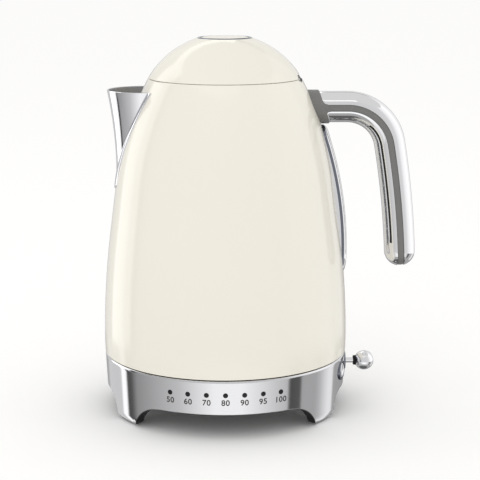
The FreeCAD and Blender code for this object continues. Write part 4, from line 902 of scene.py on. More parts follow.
class KETTLE_OT_make_base(bpy.types.Operator):
    """Make the steel base ring with its feet, and the dots and numbers on it"""

    bl_idname = "kettle.make_base"
    bl_label = "Base Ring"

    def execute(self, context):
        piece("steel_base", self.ring(), "base", "steel", "Satin steel", "Arch lining",
              replaces=("base_ring", "base_feet"))
        section = [(0, -8.0), (1.7, -8.0), (1.7, -0.05), (1.62, 0.06), (1.2, 0.14), (0, 0.2)]
        lens = turned("lens", section, segments=32)
        lens.transform(Matrix.Rotation(math.radians(90), 4, "Y"))
        dots = grown("indicator_dots", "Pieces round the axis", "Smoked lens", piece=loose(lens),
                     count=len(DIAL), radius=ring_face(DOT_HEIGHT) * MM, height=DOT_HEIGHT * MM,
                     first_angle=dot_azimuths()[0], pitch=DOT_PITCH)
        piece("indicator_dots", dots, "base", "lens", "Smoked lens", replaces=("indicator_lenses",))
        piece("dial_numbers", self.numbers(), "base", "lens", "Dial print")
        return {"FINISHED"}

    def ring(self):
        """The ring and its feet, with holes for the dots and the controls, and painted shade inside, near
        black on the low faces that don't look outwards.
        """
        dot_hole = 1.75
        lever_hole = 6.6
        selector_hole = 7.3
        gland_hole = 5.7
        shade_top = 35.0
        count = sizes().segments * 3
        columns = []
        for turn in range(count):
            azimuth = math.tau * turn / count
            columns.append([polar(radius, azimuth, height) for radius, height in ring_column(azimuth)])
        bm = bmesh.new()
        add_grid(bm, columns, closed_across=True, closed_along=True)
        holes = [ring_hole(dot_hole, azimuth, DOT_HEIGHT, segments=32) for azimuth in dot_azimuths()]
        holes.append(ring_hole(lever_hole, 0.0, LEVER_HEIGHT))
        holes.append(ring_hole(selector_hole, SELECTOR, LEVER_HEIGHT))
        holes.append(ring_hole(gland_hole, GLAND, GLAND_HEIGHT))
        ring = carved(to_mesh("steel_base", bm), holes)
        for face in ring.polygons:
            # Painted shade: the low faces that don't look outwards take the near-black finish.
            face.material_index = int(facing_out(face) < 0.5 and face.center.z < shade_top * MM)
        return softened(ring, angle=25)

    def numbers(self):
        """Plain numbers under the dots, wrapped on the ring's face."""
        cap_share = 0.7
        proud = 0.02
        tall = sizes().number_height / MM
        level = sizes().number_level / MM
        bm = bmesh.new()
        for text, azimuth in zip(DIAL, dot_azimuths()):
            curve = bpy.data.curves.new("number", "FONT")
            curve.body = text
            curve.align_x = "CENTER"
            curve.size = tall / cap_share
            curve.extrude = 0.03
            curve.offset = 0.12
            curve.space_character = 1.08
            mesh = plain_mesh(loose(curve))
            for vertex in mesh.vertices:
                across, up, out = vertex.co
                height = level + up - tall / 2
                radius = ring_face(height) + proud + out
                vertex.co = Vector(polar(radius, azimuth + across / radius, height)) * MM
            bm.from_mesh(mesh)
        return to_mesh("dial_numbers", bm)


class KETTLE_OT_make_controls(bpy.types.Operator):
    """Make the ball lever, the selector button and the cord gland"""

    bl_idname = "kettle.make_controls"
    bl_label = "Controls"

    def execute(self, context):
        piece("ball_knob", self.knob(), "lever", "chrome", "Polished chrome", "Collar black",
              replaces=("lever_knob",))

        front = ring_face(LEVER_HEIGHT) + 1.0
        bezel = eased([(5.7, front - 4.5), (7.2, front - 4.5), (7.2, front - 0.3), (6.7, front),
                       (6.0, front), (5.7, front - 0.4)], 0.25)
        mesh = outwards(turned("selector_ring", bezel, segments=96), SELECTOR, LEVER_HEIGHT)
        piece("selector_ring", mesh, "base", "chrome", "Dark trim", replaces=("selector_bezel",))
        cap = eased([(0, front - 8), (5.2, front - 8), (5.2, front - 0.4), (4.7, front), (4.1, front),
                     (3.5, front - 0.35), (0, front - 0.55)], 0.25)
        mesh = outwards(turned("selector_cap", cap, segments=96), SELECTOR, LEVER_HEIGHT)
        piece("selector_cap", mesh, "selector", "chrome", "Polished chrome",
              replaces=("selector_button",))

        low, high = (corner.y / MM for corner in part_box("cord_gland"))
        flange = 1.7
        bore = 3.6
        waist = 5.6
        wide = 7.2
        gland = eased([(bore, low), (wide, low), (wide, low + flange), (waist, low + flange),
                       (waist, high - flange), (wide, high - flange), (wide, high - 0.5), (6.6, high),
                       (4.2, high), (bore, high - 0.6)], 0.2)
        mesh = outwards(turned("gland_sleeve", gland, segments=64), GLAND, GLAND_HEIGHT)
        piece("gland_sleeve", mesh, "base", "black_plastic", "Black plastic", replaces=("cord_gland",))
        return {"FINISHED"}

    def knob(self):
        """The ball with its black collar."""
        ball = 101.0
        radius = 7.0
        tip = 93.0
        neck = 3.5
        ball_rows = 48
        start = math.pi - math.asin((neck + 0.4) / radius)
        ball_end = ball + radius * math.cos(start)
        points = [(0, tip), (neck - 0.3, tip), (neck, tip + 0.3), (neck, ball_end - 0.25)]
        points += [(radius * math.sin(turn), ball + radius * math.cos(turn))
                   for turn in np.linspace(start, 0, ball_rows)]
        mesh = outwards(turned("ball_knob", points, segments=96, angle=40), 0.0, LEVER_HEIGHT)
        for face in mesh.polygons:
            face.material_index = int(face.center.x < (ball_end - 0.1) * MM)
        return mesh


# Jug


def spout_reach(height, grow):
    """Half width of the spout's form where it meets the jug's side at a height."""
    radius = spout.radius(height) + grow
    side = jug.radius(height)
    x = (SPOUT_AXIS ** 2 + side ** 2 - radius ** 2) / (2 * SPOUT_AXIS)
    return math.sqrt(max(side ** 2 - x ** 2, 0)) if abs(x) < side else 0.0


def pour_cutter():
    """The pouring hole, a little narrower than the spout's inside."""
    margin = 0.3
    corners = [(spout_reach(height, -SPOUT_WALL) - margin, height)
               for height in POUR_HEIGHTS]
    return prism("pour_hole", corners + [(-y, z) for y, z in reversed(corners)], low=-95, high=-40)


class KETTLE_OT_make_jug(bpy.types.Operator):
    """Make the enamelled jug with its steel inside"""

    bl_idname = "kettle.make_jug"
    bl_label = "Jug"

    def execute(self, context):
        step = 1.6
        below_rim = JUG_TOP - 0.5
        side = [point for point in outline(JUG_SIDE, step) if point[1] < JUG_TOP - 0.8]
        edge = jug.radius(JUG_TOP)
        points = side + [(jug.radius(below_rim), below_rim), (edge - 0.18, JUG_TOP - 0.12),
                         (edge - 0.5, JUG_TOP), (edge - JUG_WALL, JUG_TOP)]
        points += [(radius - JUG_WALL, height) for radius, height in reversed(side)]
        slot = slot_loop(GAUGE_LOW + WINDOW_MARGIN, GAUGE_HIGH - WINDOW_MARGIN, WINDOW_HALF)
        window = prism("window_hole", slot, low=40, high=95)
        mesh = carved(turned("enamel_jug", points, sizes().segments),
                      [pour_cutter(), window, *hinge_cutters(JUG_NOTCHES)])
        for face in mesh.polygons:
            face.material_index = int(facing_out(face) < -0.5)
        true_normals(mesh, jug_normal)
        piece("enamel_jug", mesh, "jug", "enamel", "Cream enamel", "Inner steel", replaces=("jug_shell",))
        return {"FINISHED"}


class KETTLE_OT_make_lid(bpy.types.Operator):
    """Make the domed lid, its button and the ring round it"""

    bl_idname = "kettle.make_lid"
    bl_label = "Lid"

    def execute(self, context):
        ring = 19.4
        bore = 17.3
        step = dome_height(ring) - 1.0
        mesh = carved(turned("domed_lid", self.dome(ring + 0.05, bore, step), sizes().segments),
                      hinge_cutters(LID_NOTCHES))
        true_normals(mesh, dome_normal)
        piece("domed_lid", mesh, "lid", "enamel", "Cream enamel", replaces=("lid_shell",))

        bright = eased([(17.0, step), (ring, step), (ring, dome_height(ring) - 0.05),
                        (18.6, dome_height(18.4) + 0.22), (17.5, dome_height(17.5) + 0.12),
                        (17.0, dome_height(17.0) - 0.4)], 0.3)
        piece("button_ring", turned("button_ring", bright, segments=192), "lid", "chrome", "Dark trim",
              replaces=("lid_button_ring",))

        box_low, box_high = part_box("lid_button")
        crown = box_high.z / MM
        stem_low = box_low.z / MM
        stem = 5
        radius = 16.7
        skirt = crown - 4
        rise = 0.6
        cap = [(0, stem_low), (stem, stem_low), (stem, skirt), (radius, skirt), (radius, crown - 1.5),
               (radius - 0.25, crown - 1.05), (radius - 0.8, crown - 0.72)]
        cap += [(radius * share, crown - rise * share ** 2) for share in np.linspace(0.9, 0, 16)]
        piece("push_button", turned("push_button", cap, segments=192), "button", "cream_plastic",
              "Cream plastic", replaces=("lid_button",))
        return {"FINISHED"}

    def dome(self, hole, bore, step):
        """The lid's section; step is the height of the ledge in its hole."""
        wall = 2.0
        inner = DOME_RADIUS - wall
        low = SEAM_HEIGHT + 0.1
        rim = math.acos((low + 0.4 - DOME_CENTRE) / DOME_RADIUS)
        outside = dome_arc(DOME_RADIUS, rim, math.asin(hole / DOME_RADIUS), count=44)
        inner_rim = math.acos((low - DOME_CENTRE) / inner)
        inside = dome_arc(inner, math.asin(bore / inner), inner_rim, count=30)
        edge = outside[0][0]
        return [(edge - 0.5, low), (edge - 0.1, low + 0.1), *outside, (hole, step), (bore, step), *inside]


# Spout


def tail_height(grow):
    """Where the beak leaves the jug's side."""
    step = 0.02
    height = BAND_LOW
    while spout_reach(height, grow) <= 0 and height < SPOUT_LIP:
        height += step
    return height


def beak_rows(grow, high):
    """Rows of points over the beak, from its tail up to a height."""
    low = tail_height(grow)
    result = []
    for step in range(BEAK_ROWS + 1):
        height = low + (high - low) * step / BEAK_ROWS
        radius = spout.radius(height) + grow
        reach = spout_reach(height, grow)
        x = -math.sqrt(max(jug.radius(height) ** 2 - reach ** 2, 0))
        widest = math.atan2(reach, SPOUT_AXIS - x) if reach > 0 else 0.0
        turns = [widest * share for share in np.linspace(-1, 1, BEAK_COLUMNS + 1)]
        result.append([(SPOUT_AXIS - radius * math.cos(turn), radius * math.sin(turn), height)
                       for turn in turns])
    return result


class KETTLE_OT_make_spout(bpy.types.Operator):
    """Make the flared spout with its band, and the wire filter behind it"""

    bl_idname = "kettle.make_spout"
    bl_label = "Spout"

    def execute(self, context):
        piece("spout_beak", self.beak(), "jug", "chrome", "Spout steel", "Spout lining",
              replaces=("spout",))
        piece("spout_band", self.band(), "jug", "chrome", "Spout steel")
        piece("filter_wires", self.wires(), "jug", "steel", "Inner steel",
              replaces=("spout_filter_mesh",))
        return {"FINISHED"}

    def beak(self):
        """The flared beak, with its inside darker as painted shade."""
        outer = beak_rows(0.0, SPOUT_LIP - LIP_EDGE) + beak_rows(-LIP_EDGE, SPOUT_LIP)[-1:]
        inner = beak_rows(-SPOUT_WALL, SPOUT_LIP - LIP_EDGE)
        inner += beak_rows(LIP_EDGE - SPOUT_WALL, SPOUT_LIP)[-1:]
        bm = bmesh.new()
        add_grid(bm, outer + inner[::-1], material=lambda row, column: int(row > len(outer)))
        for side in (0, -1):
            add_grid(bm, [[row[side] for row in outer], [row[side] for row in inner]])
        return softened(to_mesh("spout_beak", bm), angle=40)

    def band(self):
        """The band that lies on the jug round the spout."""
        sunk = 0.15
        rounded_end = 4.0
        low_end = 0.4
        low_share = 0.4
        least = 0.02
        heights = np.linspace(BAND_LOW, SPOUT_LIP, 110)
        profile = ((0.0, -sunk), (0.0, BAND_PROUD - 0.1), (0.05, BAND_PROUD), (0.3, BAND_PROUD),
                   (0.6, BAND_PROUD), (0.85, BAND_PROUD - 0.06), (0.96, BAND_PROUD - 0.3),
                   (1.0, BAND_PROUD - 0.6), (1.0, -sunk))
        bm = bmesh.new()
        for side in (-1, 1):
            rows = []
            for height in heights:
                radius = jug.radius(height)
                inner = max(spout_reach(height, 0.0) - sunk, 0.0)
                outer = spout_reach(height, BAND_WIDTH)
                from_end = (height - BAND_LOW) / rounded_end
                if from_end < 1:
                    outer *= math.sqrt(max(1 - (1 - from_end) ** 2, 0.0)) * (1 - least) + least
                row = []
                for share, proud in profile:
                    turn = math.asin(min((inner + (outer - inner) * share) / radius, 1))
                    at_end = proud >= 0 and height <= BAND_LOW + low_end
                    reach = radius + (proud * low_share if at_end else proud)
                    row.append((-reach * math.cos(turn), side * reach * math.sin(turn), height))
                rows.append(row)
            add_tube(bm, rows)
        return softened(to_mesh("spout_band", bm), angle=50)

    def wires(self):
        """A net of fine wires inside the filter's frame."""
        inset = JUG_WALL + 1.3
        half = 17.9
        level_wires = 25
        upright_wires = 27
        rows = []
        for height in np.linspace(FILTER_LOW, FILTER_HIGH, level_wires):
            radius = jug.radius(height) - inset
            rows.append([(-math.sqrt(radius ** 2 - y ** 2), y, height)
                         for y in np.linspace(-half, half, upright_wires)])
        bm = bmesh.new()
        add_grid(bm, rows)
        mesh = grown("filter_wires", "Woven wires", "Inner steel",
                     net=loose(to_mesh("net", bm, closed=False)), wire_radius=sizes().wire)
        mesh.shade_smooth()
        return mesh


# Handle

STRAIGHT_ROWS = 12
SHELL_WALL = 0.9
ROOT_CORNER = 3.2
ROOT_ROUND = 0.8
ROOT_SWELL = 0.9
ROOT_TOP = 7.8
ROOT_BOTTOM = 5.9

# The groove in numbers of stations: after the first, before the last, and over which it runs out.
GROOVE_BEGIN = 12
GROOVE_END = 3
GROOVE_RUNS = (8, 3)

# Columns of a shell, as shares of its half width; the groove lies between the middle two of its shares.
GROOVE_SHARES = (0.565, 0.585, 0.71, 0.73)
SHELL_SHARES = sorted({*np.linspace(-1, 1, 41).round(4), *GROOVE_SHARES,
                       *(-share for share in GROOVE_SHARES)})
GROOVE_COLUMNS = {index for index, share in enumerate(SHELL_SHARES)
                  if GROOVE_SHARES[1] <= abs(share) <= GROOVE_SHARES[2]}


def handle_path():
    """Stations (x, z, turn) along the handle's axis, round the bend and down the grip."""
    bend_count = 25
    grip_count = 33
    path = []
    for share in np.linspace(0, 1, bend_count):
        turn = BEND_ANGLE * share
        path.append((BEND_START + BEND_RADIUS * math.sin(turn),
                     HANDLE_HEIGHT - BEND_RADIUS * (1 - math.cos(turn)), turn))
    x, z, _ = path[-1]
    for share in np.linspace(0, 1, grip_count)[1:]:
        turn = BEND_ANGLE + (GRIP_END_ANGLE - BEND_ANGLE) * share
        path.append((x + GRIP_CURVE * (math.sin(turn) - math.sin(BEND_ANGLE)),
                     z - GRIP_CURVE * (math.cos(BEND_ANGLE) - math.cos(turn)), turn))
    return path


HANDLE_PATH = handle_path()


def on_handle(station, out, across):
    """A point beside the handle's axis: out from the bend's centre, and across."""
    x, z, turn = station
    return (x + out * math.sin(turn), across, z + out * math.cos(turn))


def tail_stations(radius, stop):
    """Stations along the domed end with the bar's radius at each, until it is as thin as stop."""
    count = 14
    x, z, turn = HANDLE_PATH[-1]
    most = math.asin(math.sqrt(max(radius ** 2 - stop ** 2, 0)) / radius)
    result = []
    for share in np.linspace(0, 1, count + 1)[1:]:
        along = radius * math.sin(most * share)
        station = (x + along * math.cos(turn), z - along * math.sin(turn), turn)
        result.append((station, radius * math.cos(most * share)))
    return result


def root_edge(out):
    """X of the root's slanted edge at a height above the handle's axis."""
    top = jug.radius(HANDLE_HEIGHT + HANDLE_RADIUS) + ROOT_TOP
    bottom = jug.radius(HANDLE_HEIGHT - HANDLE_RADIUS) + ROOT_BOTTOM
    return top + (bottom - top) * (HANDLE_RADIUS - out) / (2 * HANDLE_RADIUS)


def corner_back(radius, turn):
    """How far a shell's start stands back from the root at an angle from its middle."""
    near_edge = radius * (math.acos(STRIPE_HALF / radius) - abs(turn))
    if near_edge <= 0:
        return ROOT_CORNER
    if near_edge >= ROOT_CORNER:
        return 0.0
    return ROOT_CORNER - math.sqrt(ROOT_CORNER ** 2 - (ROOT_CORNER - near_edge) ** 2)


def groove_share(index):
    """Share of the groove's full depth at a station; it runs out at both ends."""
    end = len(HANDLE_PATH) - GROOVE_END
    if index <= GROOVE_BEGIN or index >= end:
        return 0.0
    return min(1.0, (index - GROOVE_BEGIN) / GROOVE_RUNS[0], (end - index) / GROOVE_RUNS[1])


def shell_surface(sign, radius, groove):
    """Rows of points over one side of a handle shell; sign is 1 for the outer shell."""
    widest = math.acos(STRIPE_HALF / radius)
    rows = []
    for step in range(STRAIGHT_ROWS):
        row = []
        for share in SHELL_SHARES:
            turn = widest * share
            out = sign * radius * math.cos(turn)
            begin = root_edge(out) + corner_back(radius, turn)
            x = begin + (BEND_START - begin) * step / STRAIGHT_ROWS
            row.append((x, radius * math.sin(turn), HANDLE_HEIGHT + out))
        rows.append(row)
    for index, station in enumerate(HANDLE_PATH):
        row = []
        for column, share in enumerate(SHELL_SHARES):
            turn = widest * share
            reach = radius
            if column in GROOVE_COLUMNS:
                reach -= groove * groove_share(index)
            row.append(on_handle(station, sign * reach * math.cos(turn), reach * math.sin(turn)))
        rows.append(row)
    for station, reach in tail_stations(radius, STRIPE_HALF + 0.02):
        widest = math.acos(min(STRIPE_HALF / reach, 1))
        rows.append([on_handle(station, sign * reach * math.cos(widest * share),
                               reach * math.sin(widest * share)) for share in SHELL_SHARES])
    return rows


def shell_mesh(name, sign):
    """One of the handle's two shells; the inner one has a groove whose near-black colour is painted shade
    and a painted dark reflection.
    """
    grooved = sign < 0
    outer = shell_surface(sign, HANDLE_RADIUS, sizes().groove / MM if grooved else 0.0)
    inner = shell_surface(sign, HANDLE_RADIUS - SHELL_WALL, 0.0)
    first = STRAIGHT_ROWS + GROOVE_BEGIN
    last = STRAIGHT_ROWS + len(HANDLE_PATH) - GROOVE_END - 1

    # Faces in the groove take the near-black finish: painted shade.
    def material(row, column):
        inside = column in GROOVE_COLUMNS and column + 1 in GROOVE_COLUMNS
        return int(grooved and inside and first <= row < last)

    bm = bmesh.new()
    add_grid(bm, outer, material=material)
    add_grid(bm, inner)
    for side in (0, -1):
        add_grid(bm, [[row[side] for row in outer], [row[side] for row in inner]])
        add_grid(bm, [outer[side], inner[side]])
    return bevelled(to_mesh(name, bm), sizes().edge, angle=50)


class KETTLE_OT_make_handle(bpy.types.Operator):
    """Make the hooked handle: two bright shells round a grey core"""

    bl_idname = "kettle.make_handle"
    bl_label = "Handle"

    def execute(self, context):
        piece("handle_outer_bright", shell_mesh("handle_outer_bright", 1), "jug", "chrome_plastic",
              "Chromed plastic", replaces=("handle_outer_shell",))
        piece("handle_inner_bright", shell_mesh("handle_inner_bright", -1), "jug", "chrome_plastic",
              "Chromed plastic", "Groove shadow", replaces=("handle_inner_shell",))
        turns = np.linspace(0, math.tau, 97)[:-1]
        bm = bmesh.new()
        self.add_bar(bm, turns)
        self.add_root(bm, turns)
        core = softened(to_mesh("handle_grey_core", bm), angle=35)
        piece("handle_grey_core", core, "jug", "grey_plastic", "Grey plastic", replaces=("handle_core",))
        return {"FINISHED"}

    def add_bar(self, bm, turns):
        """The bar inside the shells, with the stripe that shows between them."""
        stripe = HANDLE_RADIUS - 0.5
        bar = HANDLE_RADIUS - 1.0
        tail_step = 0.45
        tail_stop = 0.5
        inside_root = (70.0, 74.0, 78.0, 82.0)

        def section(station, reach, under):
            row = []
            for turn in turns:
                in_stripe = abs(math.cos(turn) * reach) < STRIPE_HALF - 0.05
                radius = reach if in_stripe else under
                row.append(on_handle(station, radius * math.cos(turn), radius * math.sin(turn)))
            return row

        straight = [(x, HANDLE_HEIGHT, 0.0) for x in inside_root]
        rows = [section(station, stripe, bar) for station in straight + HANDLE_PATH]
        rows += [section(station, reach, reach - tail_step)
                 for station, reach in tail_stations(stripe, tail_stop)]
        add_tube(bm, rows)

    def add_root(self, bm, turns):
        """The root block between the jug and the shells."""
        swell = HANDLE_RADIUS + ROOT_SWELL
        sunk = 0.25
        round_rows = 5
        end_reaches = (HANDLE_RADIUS - 0.08, HANDLE_RADIUS * 0.7, HANDLE_RADIUS * 0.35)
        columns = []
        for turn in turns:
            out = swell * math.cos(turn)
            across = swell * math.sin(turn)
            height = HANDLE_HEIGHT + out
            begin = math.sqrt(jug.radius(height) ** 2 - across ** 2) - sunk
            end = root_edge(out)
            shoulder = end - ROOT_ROUND
            column = [(begin, across, height)]
            column += [(begin + (shoulder - begin) * share, across, height) for share in (0.33, 0.67)]
            for lean in np.linspace(0, math.pi / 2, round_rows):
                share = (swell - ROOT_ROUND + ROOT_ROUND * math.cos(lean)) / swell
                column.append((shoulder + ROOT_ROUND * math.sin(lean), across * share,
                               HANDLE_HEIGHT + out * share))
            off_middle = abs(math.remainder(turn, math.tau))
            back = corner_back(HANDLE_RADIUS, min(off_middle, math.pi - off_middle))
            for reach in end_reaches:
                share = reach / swell
                column.append((root_edge(out * share) + back, across * share,
                               HANDLE_HEIGHT + out * share))
            columns.append(column)
        grid = add_grid(bm, columns, closed_along=True)
        for end in (0, -1):
            bm.faces.new([column[end] for column in grid])


# Water gauge


def gauge_loop(inset, sink, from_jug=-0.1):
    """Points round the gauge frame, inset from its edge and sunk below its face, but not into the jug."""
    loop = []
    for y, z in slot_loop(GAUGE_LOW + inset, GAUGE_HIGH - inset, GAUGE_HALF - inset):
        radius = max(gauge.radius(z) - sink, jug.radius(z) + from_jug)
        loop.append((math.sqrt(radius ** 2 - y ** 2), y, z))
    return loop


class KETTLE_OT_make_gauge(bpy.types.Operator):
    """Make the bright frame of the water gauge and the marks on its window"""

    bl_idname = "kettle.make_gauge"
    bl_label = "Water Gauge"

    def execute(self, context):
        piece("gauge_bright_frame", self.bright_frame(), "jug", "chrome_plastic", "Chromed plastic",
              "Dark trim", replaces=("gauge_frame",))
        piece("gauge_marks", self.marks(), "jug", "cream_plastic", "Gauge marks")
        return {"FINISHED"}

    def bright_frame(self):
        """The frame round the window, with a painted reflection: a dark line in its edge."""
        inner = GAUGE_HALF - WINDOW_HALF
        to_jug = 50.0
        painted_reflection_rows = (1, 2)
        steps = ((0.0, to_jug), (0.0, 3.5, 0.0), (0.0, 2.1), (0.14, 1.6), (0.45, 1.1), (1.0, 0.65),
                 (1.8, 0.3), (2.8, 0.08), (3.8, 0.0), (inner - 1.2, 0.0), (inner - 0.7, 0.1),
                 (inner - 0.2, 0.4), (inner, 1.0), (inner, to_jug))
        bm = bmesh.new()
        # The rows next to the jug take the dark finish: a painted reflection.
        add_grid(bm, [gauge_loop(*step) for step in steps], closed_across=True, closed_along=True,
                 material=lambda row, column: int(row in painted_reflection_rows))
        return softened(to_mesh("gauge_bright_frame", bm), angle=50)

    def marks(self):
        """Short level marks up the window."""
        below_face = 1.53
        mark_size = (0.12, 5.0, 0.5)
        mark_edge = 0.04
        heights = np.linspace(122.0, 182.0, 24)
        path = bpy.data.curves.new("mark_path", "CURVE")
        path.dimensions = "3D"
        spline = path.splines.new("POLY")
        spline.points.add(len(heights) - 1)
        for point, height in zip(spline.points, heights):
            point.co = ((gauge.radius(height) - below_face) * MM, 0, height * MM, 1)
        bm = bmesh.new()
        add_block(bm, mark_size)
        bmesh.ops.bevel(bm, geom=bm.edges[:], offset=mark_edge * MM, segments=1, affect="EDGES")
        return grown("gauge_marks", "Pieces along a path", "Gauge marks", path=loose(path),
                     piece=loose(to_mesh("mark", bm)), count=5)


# Stage

WALL_RADIUS = 1800.0
WALL_LOW = -1500.0
WALL_SPLIT = -420.0
WALL_HIGH = 1900.0

# Grey of the studio walls by direction, in degrees from the camera's and to the right if positive.
LOW_TONES = ((-180, 0.3), (-152, 0.5), (-148, 0.72), (-118, 0.75), (-116.5, 1.35), (-109, 1.35),
             (-107.5, 0.06), (-100, 0.13), (-93, 0.34), (-80, 0.42), (-45, 0.66), (-10, 1.15), (15, 1.15),
             (50, 0.72), (61, 0.62), (62.5, 0.09), (75.5, 0.12), (77, 0.47), (95, 0.47), (102, 0.6),
             (109, 0.82), (117, 1.0), (124, 0.97), (126, 0.45), (180, 0.3))
HIGH_TONES = ((-180, 0.24), (-168, 0.24), (-164, 0.62), (-134, 0.7), (-131, 1.8), (-112, 1.85),
              (-108.5, 1.3), (-99, 1.3), (-98, 0.05), (-92, 0.06), (-89, 0.4), (-80, 0.46), (-45, 0.6),
              (-10, 0.72), (15, 0.7), (55, 0.75), (70, 1.0), (100, 1.2), (113, 1.2), (119, 1.0),
              (143, 0.95), (150, 0.4), (164, 0.4), (168, 0.24), (180, 0.24))


def glow_finish(name, strength, tint=None):
    """A glowing material; tint(wiring) may add nodes for its colour."""
    material = bpy.data.materials.new(name)
    material.use_nodes = True
    material.node_tree.nodes.clear()
    wiring = Wiring(material.node_tree)
    colour = (1, 1, 1, 1) if tint is None else tint(wiring)
    glow = wiring.add("ShaderNodeEmission", {"Color": colour, "Strength": strength})
    wiring.add("ShaderNodeOutputMaterial", {"Surface": glow[0]})
    return material


def add_card(name, bm, material):
    """A card that shows in reflections and nowhere else."""
    thing = loose(to_mesh(name, bm, closed=False))
    thing.data.materials.append(material)
    for ray in ("camera", "diffuse", "shadow", "transmission", "volume_scatter"):
        setattr(thing, f"visible_{ray}", False)


def level_circle(radius, height, count):
    """Points round the upright axis at one height."""
    return [polar(radius, math.tau * step / count, height) for step in range(count)]


def studio_wall(name, low, high, tones):
    """A round wall of soft and dark cards."""
    brightest = max(tone for _, tone in tones)
    blue = 1.005

    def tint(wiring):
        parts = wiring.add("ShaderNodeSeparateXYZ", {0: wiring.add("ShaderNodeTexCoord")["Object"]})
        angle = wiring.math("ARCTAN2", parts["X"], wiring.math("MULTIPLY", parts["Y"], -1.0))
        share = wiring.math("ADD", wiring.math("DIVIDE", angle, math.tau), 0.5)
        ramp = wiring.tree.nodes.new("ShaderNodeValToRGB")
        wiring.feed(ramp.inputs[0], share)
        elements = ramp.color_ramp.elements
        for index, (degrees, _) in enumerate(tones):
            place = degrees / 360 + 0.5
            element = elements[index] if index < 2 else elements.new(place)
            element.position = place
        for element, (_, tone) in zip(sorted(elements, key=lambda item: item.position), tones):
            grey = tone / brightest
            element.color = (grey, grey, grey * blue, 1)
        return ramp.outputs["Color"]

    bm = bmesh.new()
    add_grid(bm, [level_circle(WALL_RADIUS, height, 144) for height in (low, high)], closed_across=True)
    add_card(name, bm, glow_finish(name, brightest, tint))


def level_card(name, height, inner, outer, strength):
    """A round card under or over the stage."""
    bm = bmesh.new()
    grid = add_grid(bm, [level_circle(radius, height, 96) for radius in (inner, outer)],
                    closed_across=True)
    if inner < 1:
        bm.faces.new(grid[0])
    add_card(name, bm, glow_finish(name, strength))


def overhead_card(name, azimuths, elevations, strength):
    """A softbox on a dome over the stage."""
    radius = 1700.0
    centre = 200
    rows = []
    for elevation in np.radians(np.linspace(*elevations, 5)):
        level = radius * math.cos(elevation)
        height = radius * math.sin(elevation) + centre
        rows.append([(level * math.sin(azimuth), -level * math.cos(azimuth), height)
                     for azimuth in np.radians(np.linspace(*azimuths, 40))])
    bm = bmesh.new()
    add_grid(bm, rows)
    add_card(name, bm, glow_finish(name, strength))


def add_lamp(name, power, size, place, target):
    """A soft lamp that lights surfaces but isn't seen in them."""
    lamp = bpy.data.lights.new(name, "AREA")
    lamp.energy = power
    lamp.shape = "RECTANGLE"
    lamp.size = size[0]
    lamp.size_y = size[1]
    thing = loose(lamp)
    thing.location = place
    thing.rotation_euler = (Vector(target) - Vector(place)).to_track_quat("-Z", "Y").to_euler()
    thing.visible_glossy = False
    thing.visible_camera = False


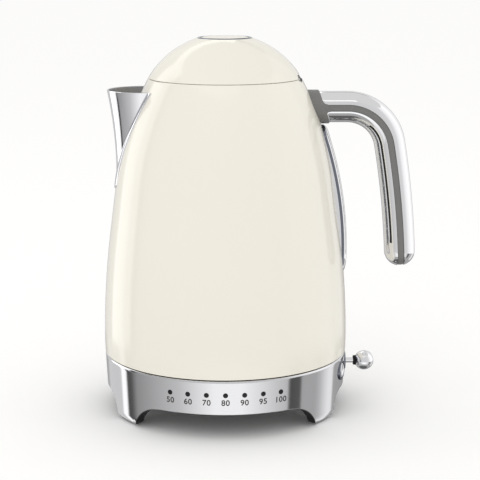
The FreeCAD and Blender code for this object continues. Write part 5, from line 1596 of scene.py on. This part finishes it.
class KETTLE_OT_set_stage(bpy.types.Operator):
    """Set the camera, the floor, the lamps and the white surround"""

    bl_idname = "kettle.set_stage"
    bl_label = "Stage"

    def execute(self, context):
        scene = context.scene
        stage = scene.kettle_stage
        camera = loose(bpy.data.cameras.new("camera"))
        camera.location = (0, -stage.distance, stage.height)
        camera.rotation_euler = (math.radians(90) - stage.pitch, 0, -stage.pan)
        camera.data.lens = stage.lens
        camera.data.sensor_width = 36
        scene.camera = camera
        scene.view_settings.view_transform = "Standard"

        self.white_world(scene, stage.ambient)
        self.floor()
        dark_floor = 850.0
        studio_wall("Low wall", WALL_LOW, WALL_SPLIT, LOW_TONES)
        studio_wall("High wall", WALL_SPLIT, WALL_HIGH, HIGH_TONES)
        level_card("Dark floor card", WALL_LOW, 0.5, dark_floor, 0.12)
        level_card("Pale floor card", WALL_LOW, dark_floor, WALL_RADIUS, 0.42)
        level_card("Ceiling card", WALL_HIGH, 0.5, WALL_RADIUS, 0.75)
        overhead_card("Front softbox", (-60, 25), (45, 51), 1.3)
        overhead_card("Back softbox", (172, 262), (39, 49), 1.8)
        overhead_card("Back card", (145, 215), (3, 38), 0.8)
        middle = (0, 0, 0.13)
        add_lamp("Key lamp", stage.key, (1.4, 1.0), (-0.5, -1.6, 1.5), middle)
        add_lamp("Left lamp", stage.key * 0.35, (0.4, 1.4), (-1.5, 0.2, 0.7), middle)
        add_lamp("Top lamp", stage.key * 0.2, (1.6, 1.6), (0.0, 0.2, 1.9), (0, 0, 0))
        return {"FINISHED"}

    def white_world(self, scene, ambient):
        """White where it is seen, even light where it falls on surfaces."""
        world = bpy.data.worlds.new("Surround")
        world.use_nodes = True
        scene.world = world
        wiring = Wiring(world.node_tree)
        seen = world.node_tree.nodes["Background"]
        seen.inputs["Color"].default_value = (1, 1, 1, 1)
        lit = wiring.add("ShaderNodeBackground", {"Color": (1.0, 0.995, 0.985, 1), "Strength": ambient})
        rays = wiring.add("ShaderNodeLightPath")
        mirror = wiring.math("MAXIMUM", rays["Is Glossy Ray"], rays["Is Transmission Ray"])
        shown = wiring.math("MAXIMUM", rays["Is Camera Ray"], mirror)
        mix = wiring.add("ShaderNodeMixShader", {"Fac": shown, 1: lit[0], 2: seen.outputs[0]})
        wiring.feed(world.node_tree.nodes["World Output"].inputs["Surface"], mix[0])

    def floor(self):
        """A pale floor that takes a soft shadow."""
        bm = bmesh.new()
        bmesh.ops.create_grid(bm, x_segments=1, y_segments=1, size=12)
        floor = loose(to_mesh("floor", bm, closed=False))
        material = bpy.data.materials.new("Pale floor")
        material.use_nodes = True
        shader = material.node_tree.nodes["Principled BSDF"]
        shader.inputs["Base Color"].default_value = (0.97, 0.97, 0.97, 1)
        shader.inputs["Roughness"].default_value = 0.9
        shader.inputs["Specular IOR Level"].default_value = 0.0
        floor.data.materials.append(material)
        floor.visible_glossy = False


OPERATORS = (
    KETTLE_OT_mix_finishes,
    KETTLE_OT_make_screws,
    KETTLE_OT_make_base,
    KETTLE_OT_make_controls,
    KETTLE_OT_make_jug,
    KETTLE_OT_make_lid,
    KETTLE_OT_make_spout,
    KETTLE_OT_make_handle,
    KETTLE_OT_make_gauge,
    KETTLE_OT_set_stage,
)
SETTINGS = {
    "kettle_finishes": KettleFinishes,
    "kettle_sizes": KettleSizes,
    "kettle_stage": KettleStage,
}


class KETTLE_PT_steps(bpy.types.Panel):
    """Lists the kettle's operators and settings"""

    bl_idname = "KETTLE_PT_steps"
    bl_label = "Kettle"
    bl_space_type = "VIEW_3D"
    bl_region_type = "UI"
    bl_category = "Kettle"

    def draw(self, context):
        for operator in OPERATORS:
            self.layout.operator(operator.bl_idname)
        for name in SETTINGS:
            group = getattr(context.scene, name)
            box = self.layout.box()
            for setting in group.__annotations__:
                box.prop(group, setting)


CLASSES = (*SETTINGS.values(), *OPERATORS, KETTLE_PT_steps)


def register():
    for kind in CLASSES:
        bpy.utils.register_class(kind)
    for name, group in SETTINGS.items():
        setattr(bpy.types.Scene, name, PointerProperty(type=group))


def unregister():
    for name in SETTINGS:
        delattr(bpy.types.Scene, name)
    for kind in reversed(CLASSES):
        bpy.utils.unregister_class(kind)


def main():
    register()
    bpy.ops.kettle.mix_finishes()
    bpy.ops.kettle.make_screws()
    bpy.ops.kettle.make_base()
    bpy.ops.kettle.make_controls()
    bpy.ops.kettle.make_jug()
    bpy.ops.kettle.make_lid()
    bpy.ops.kettle.make_spout()
    bpy.ops.kettle.make_handle()
    bpy.ops.kettle.make_gauge()
    bpy.ops.kettle.set_stage()


if __name__ == "__main__":
    main()
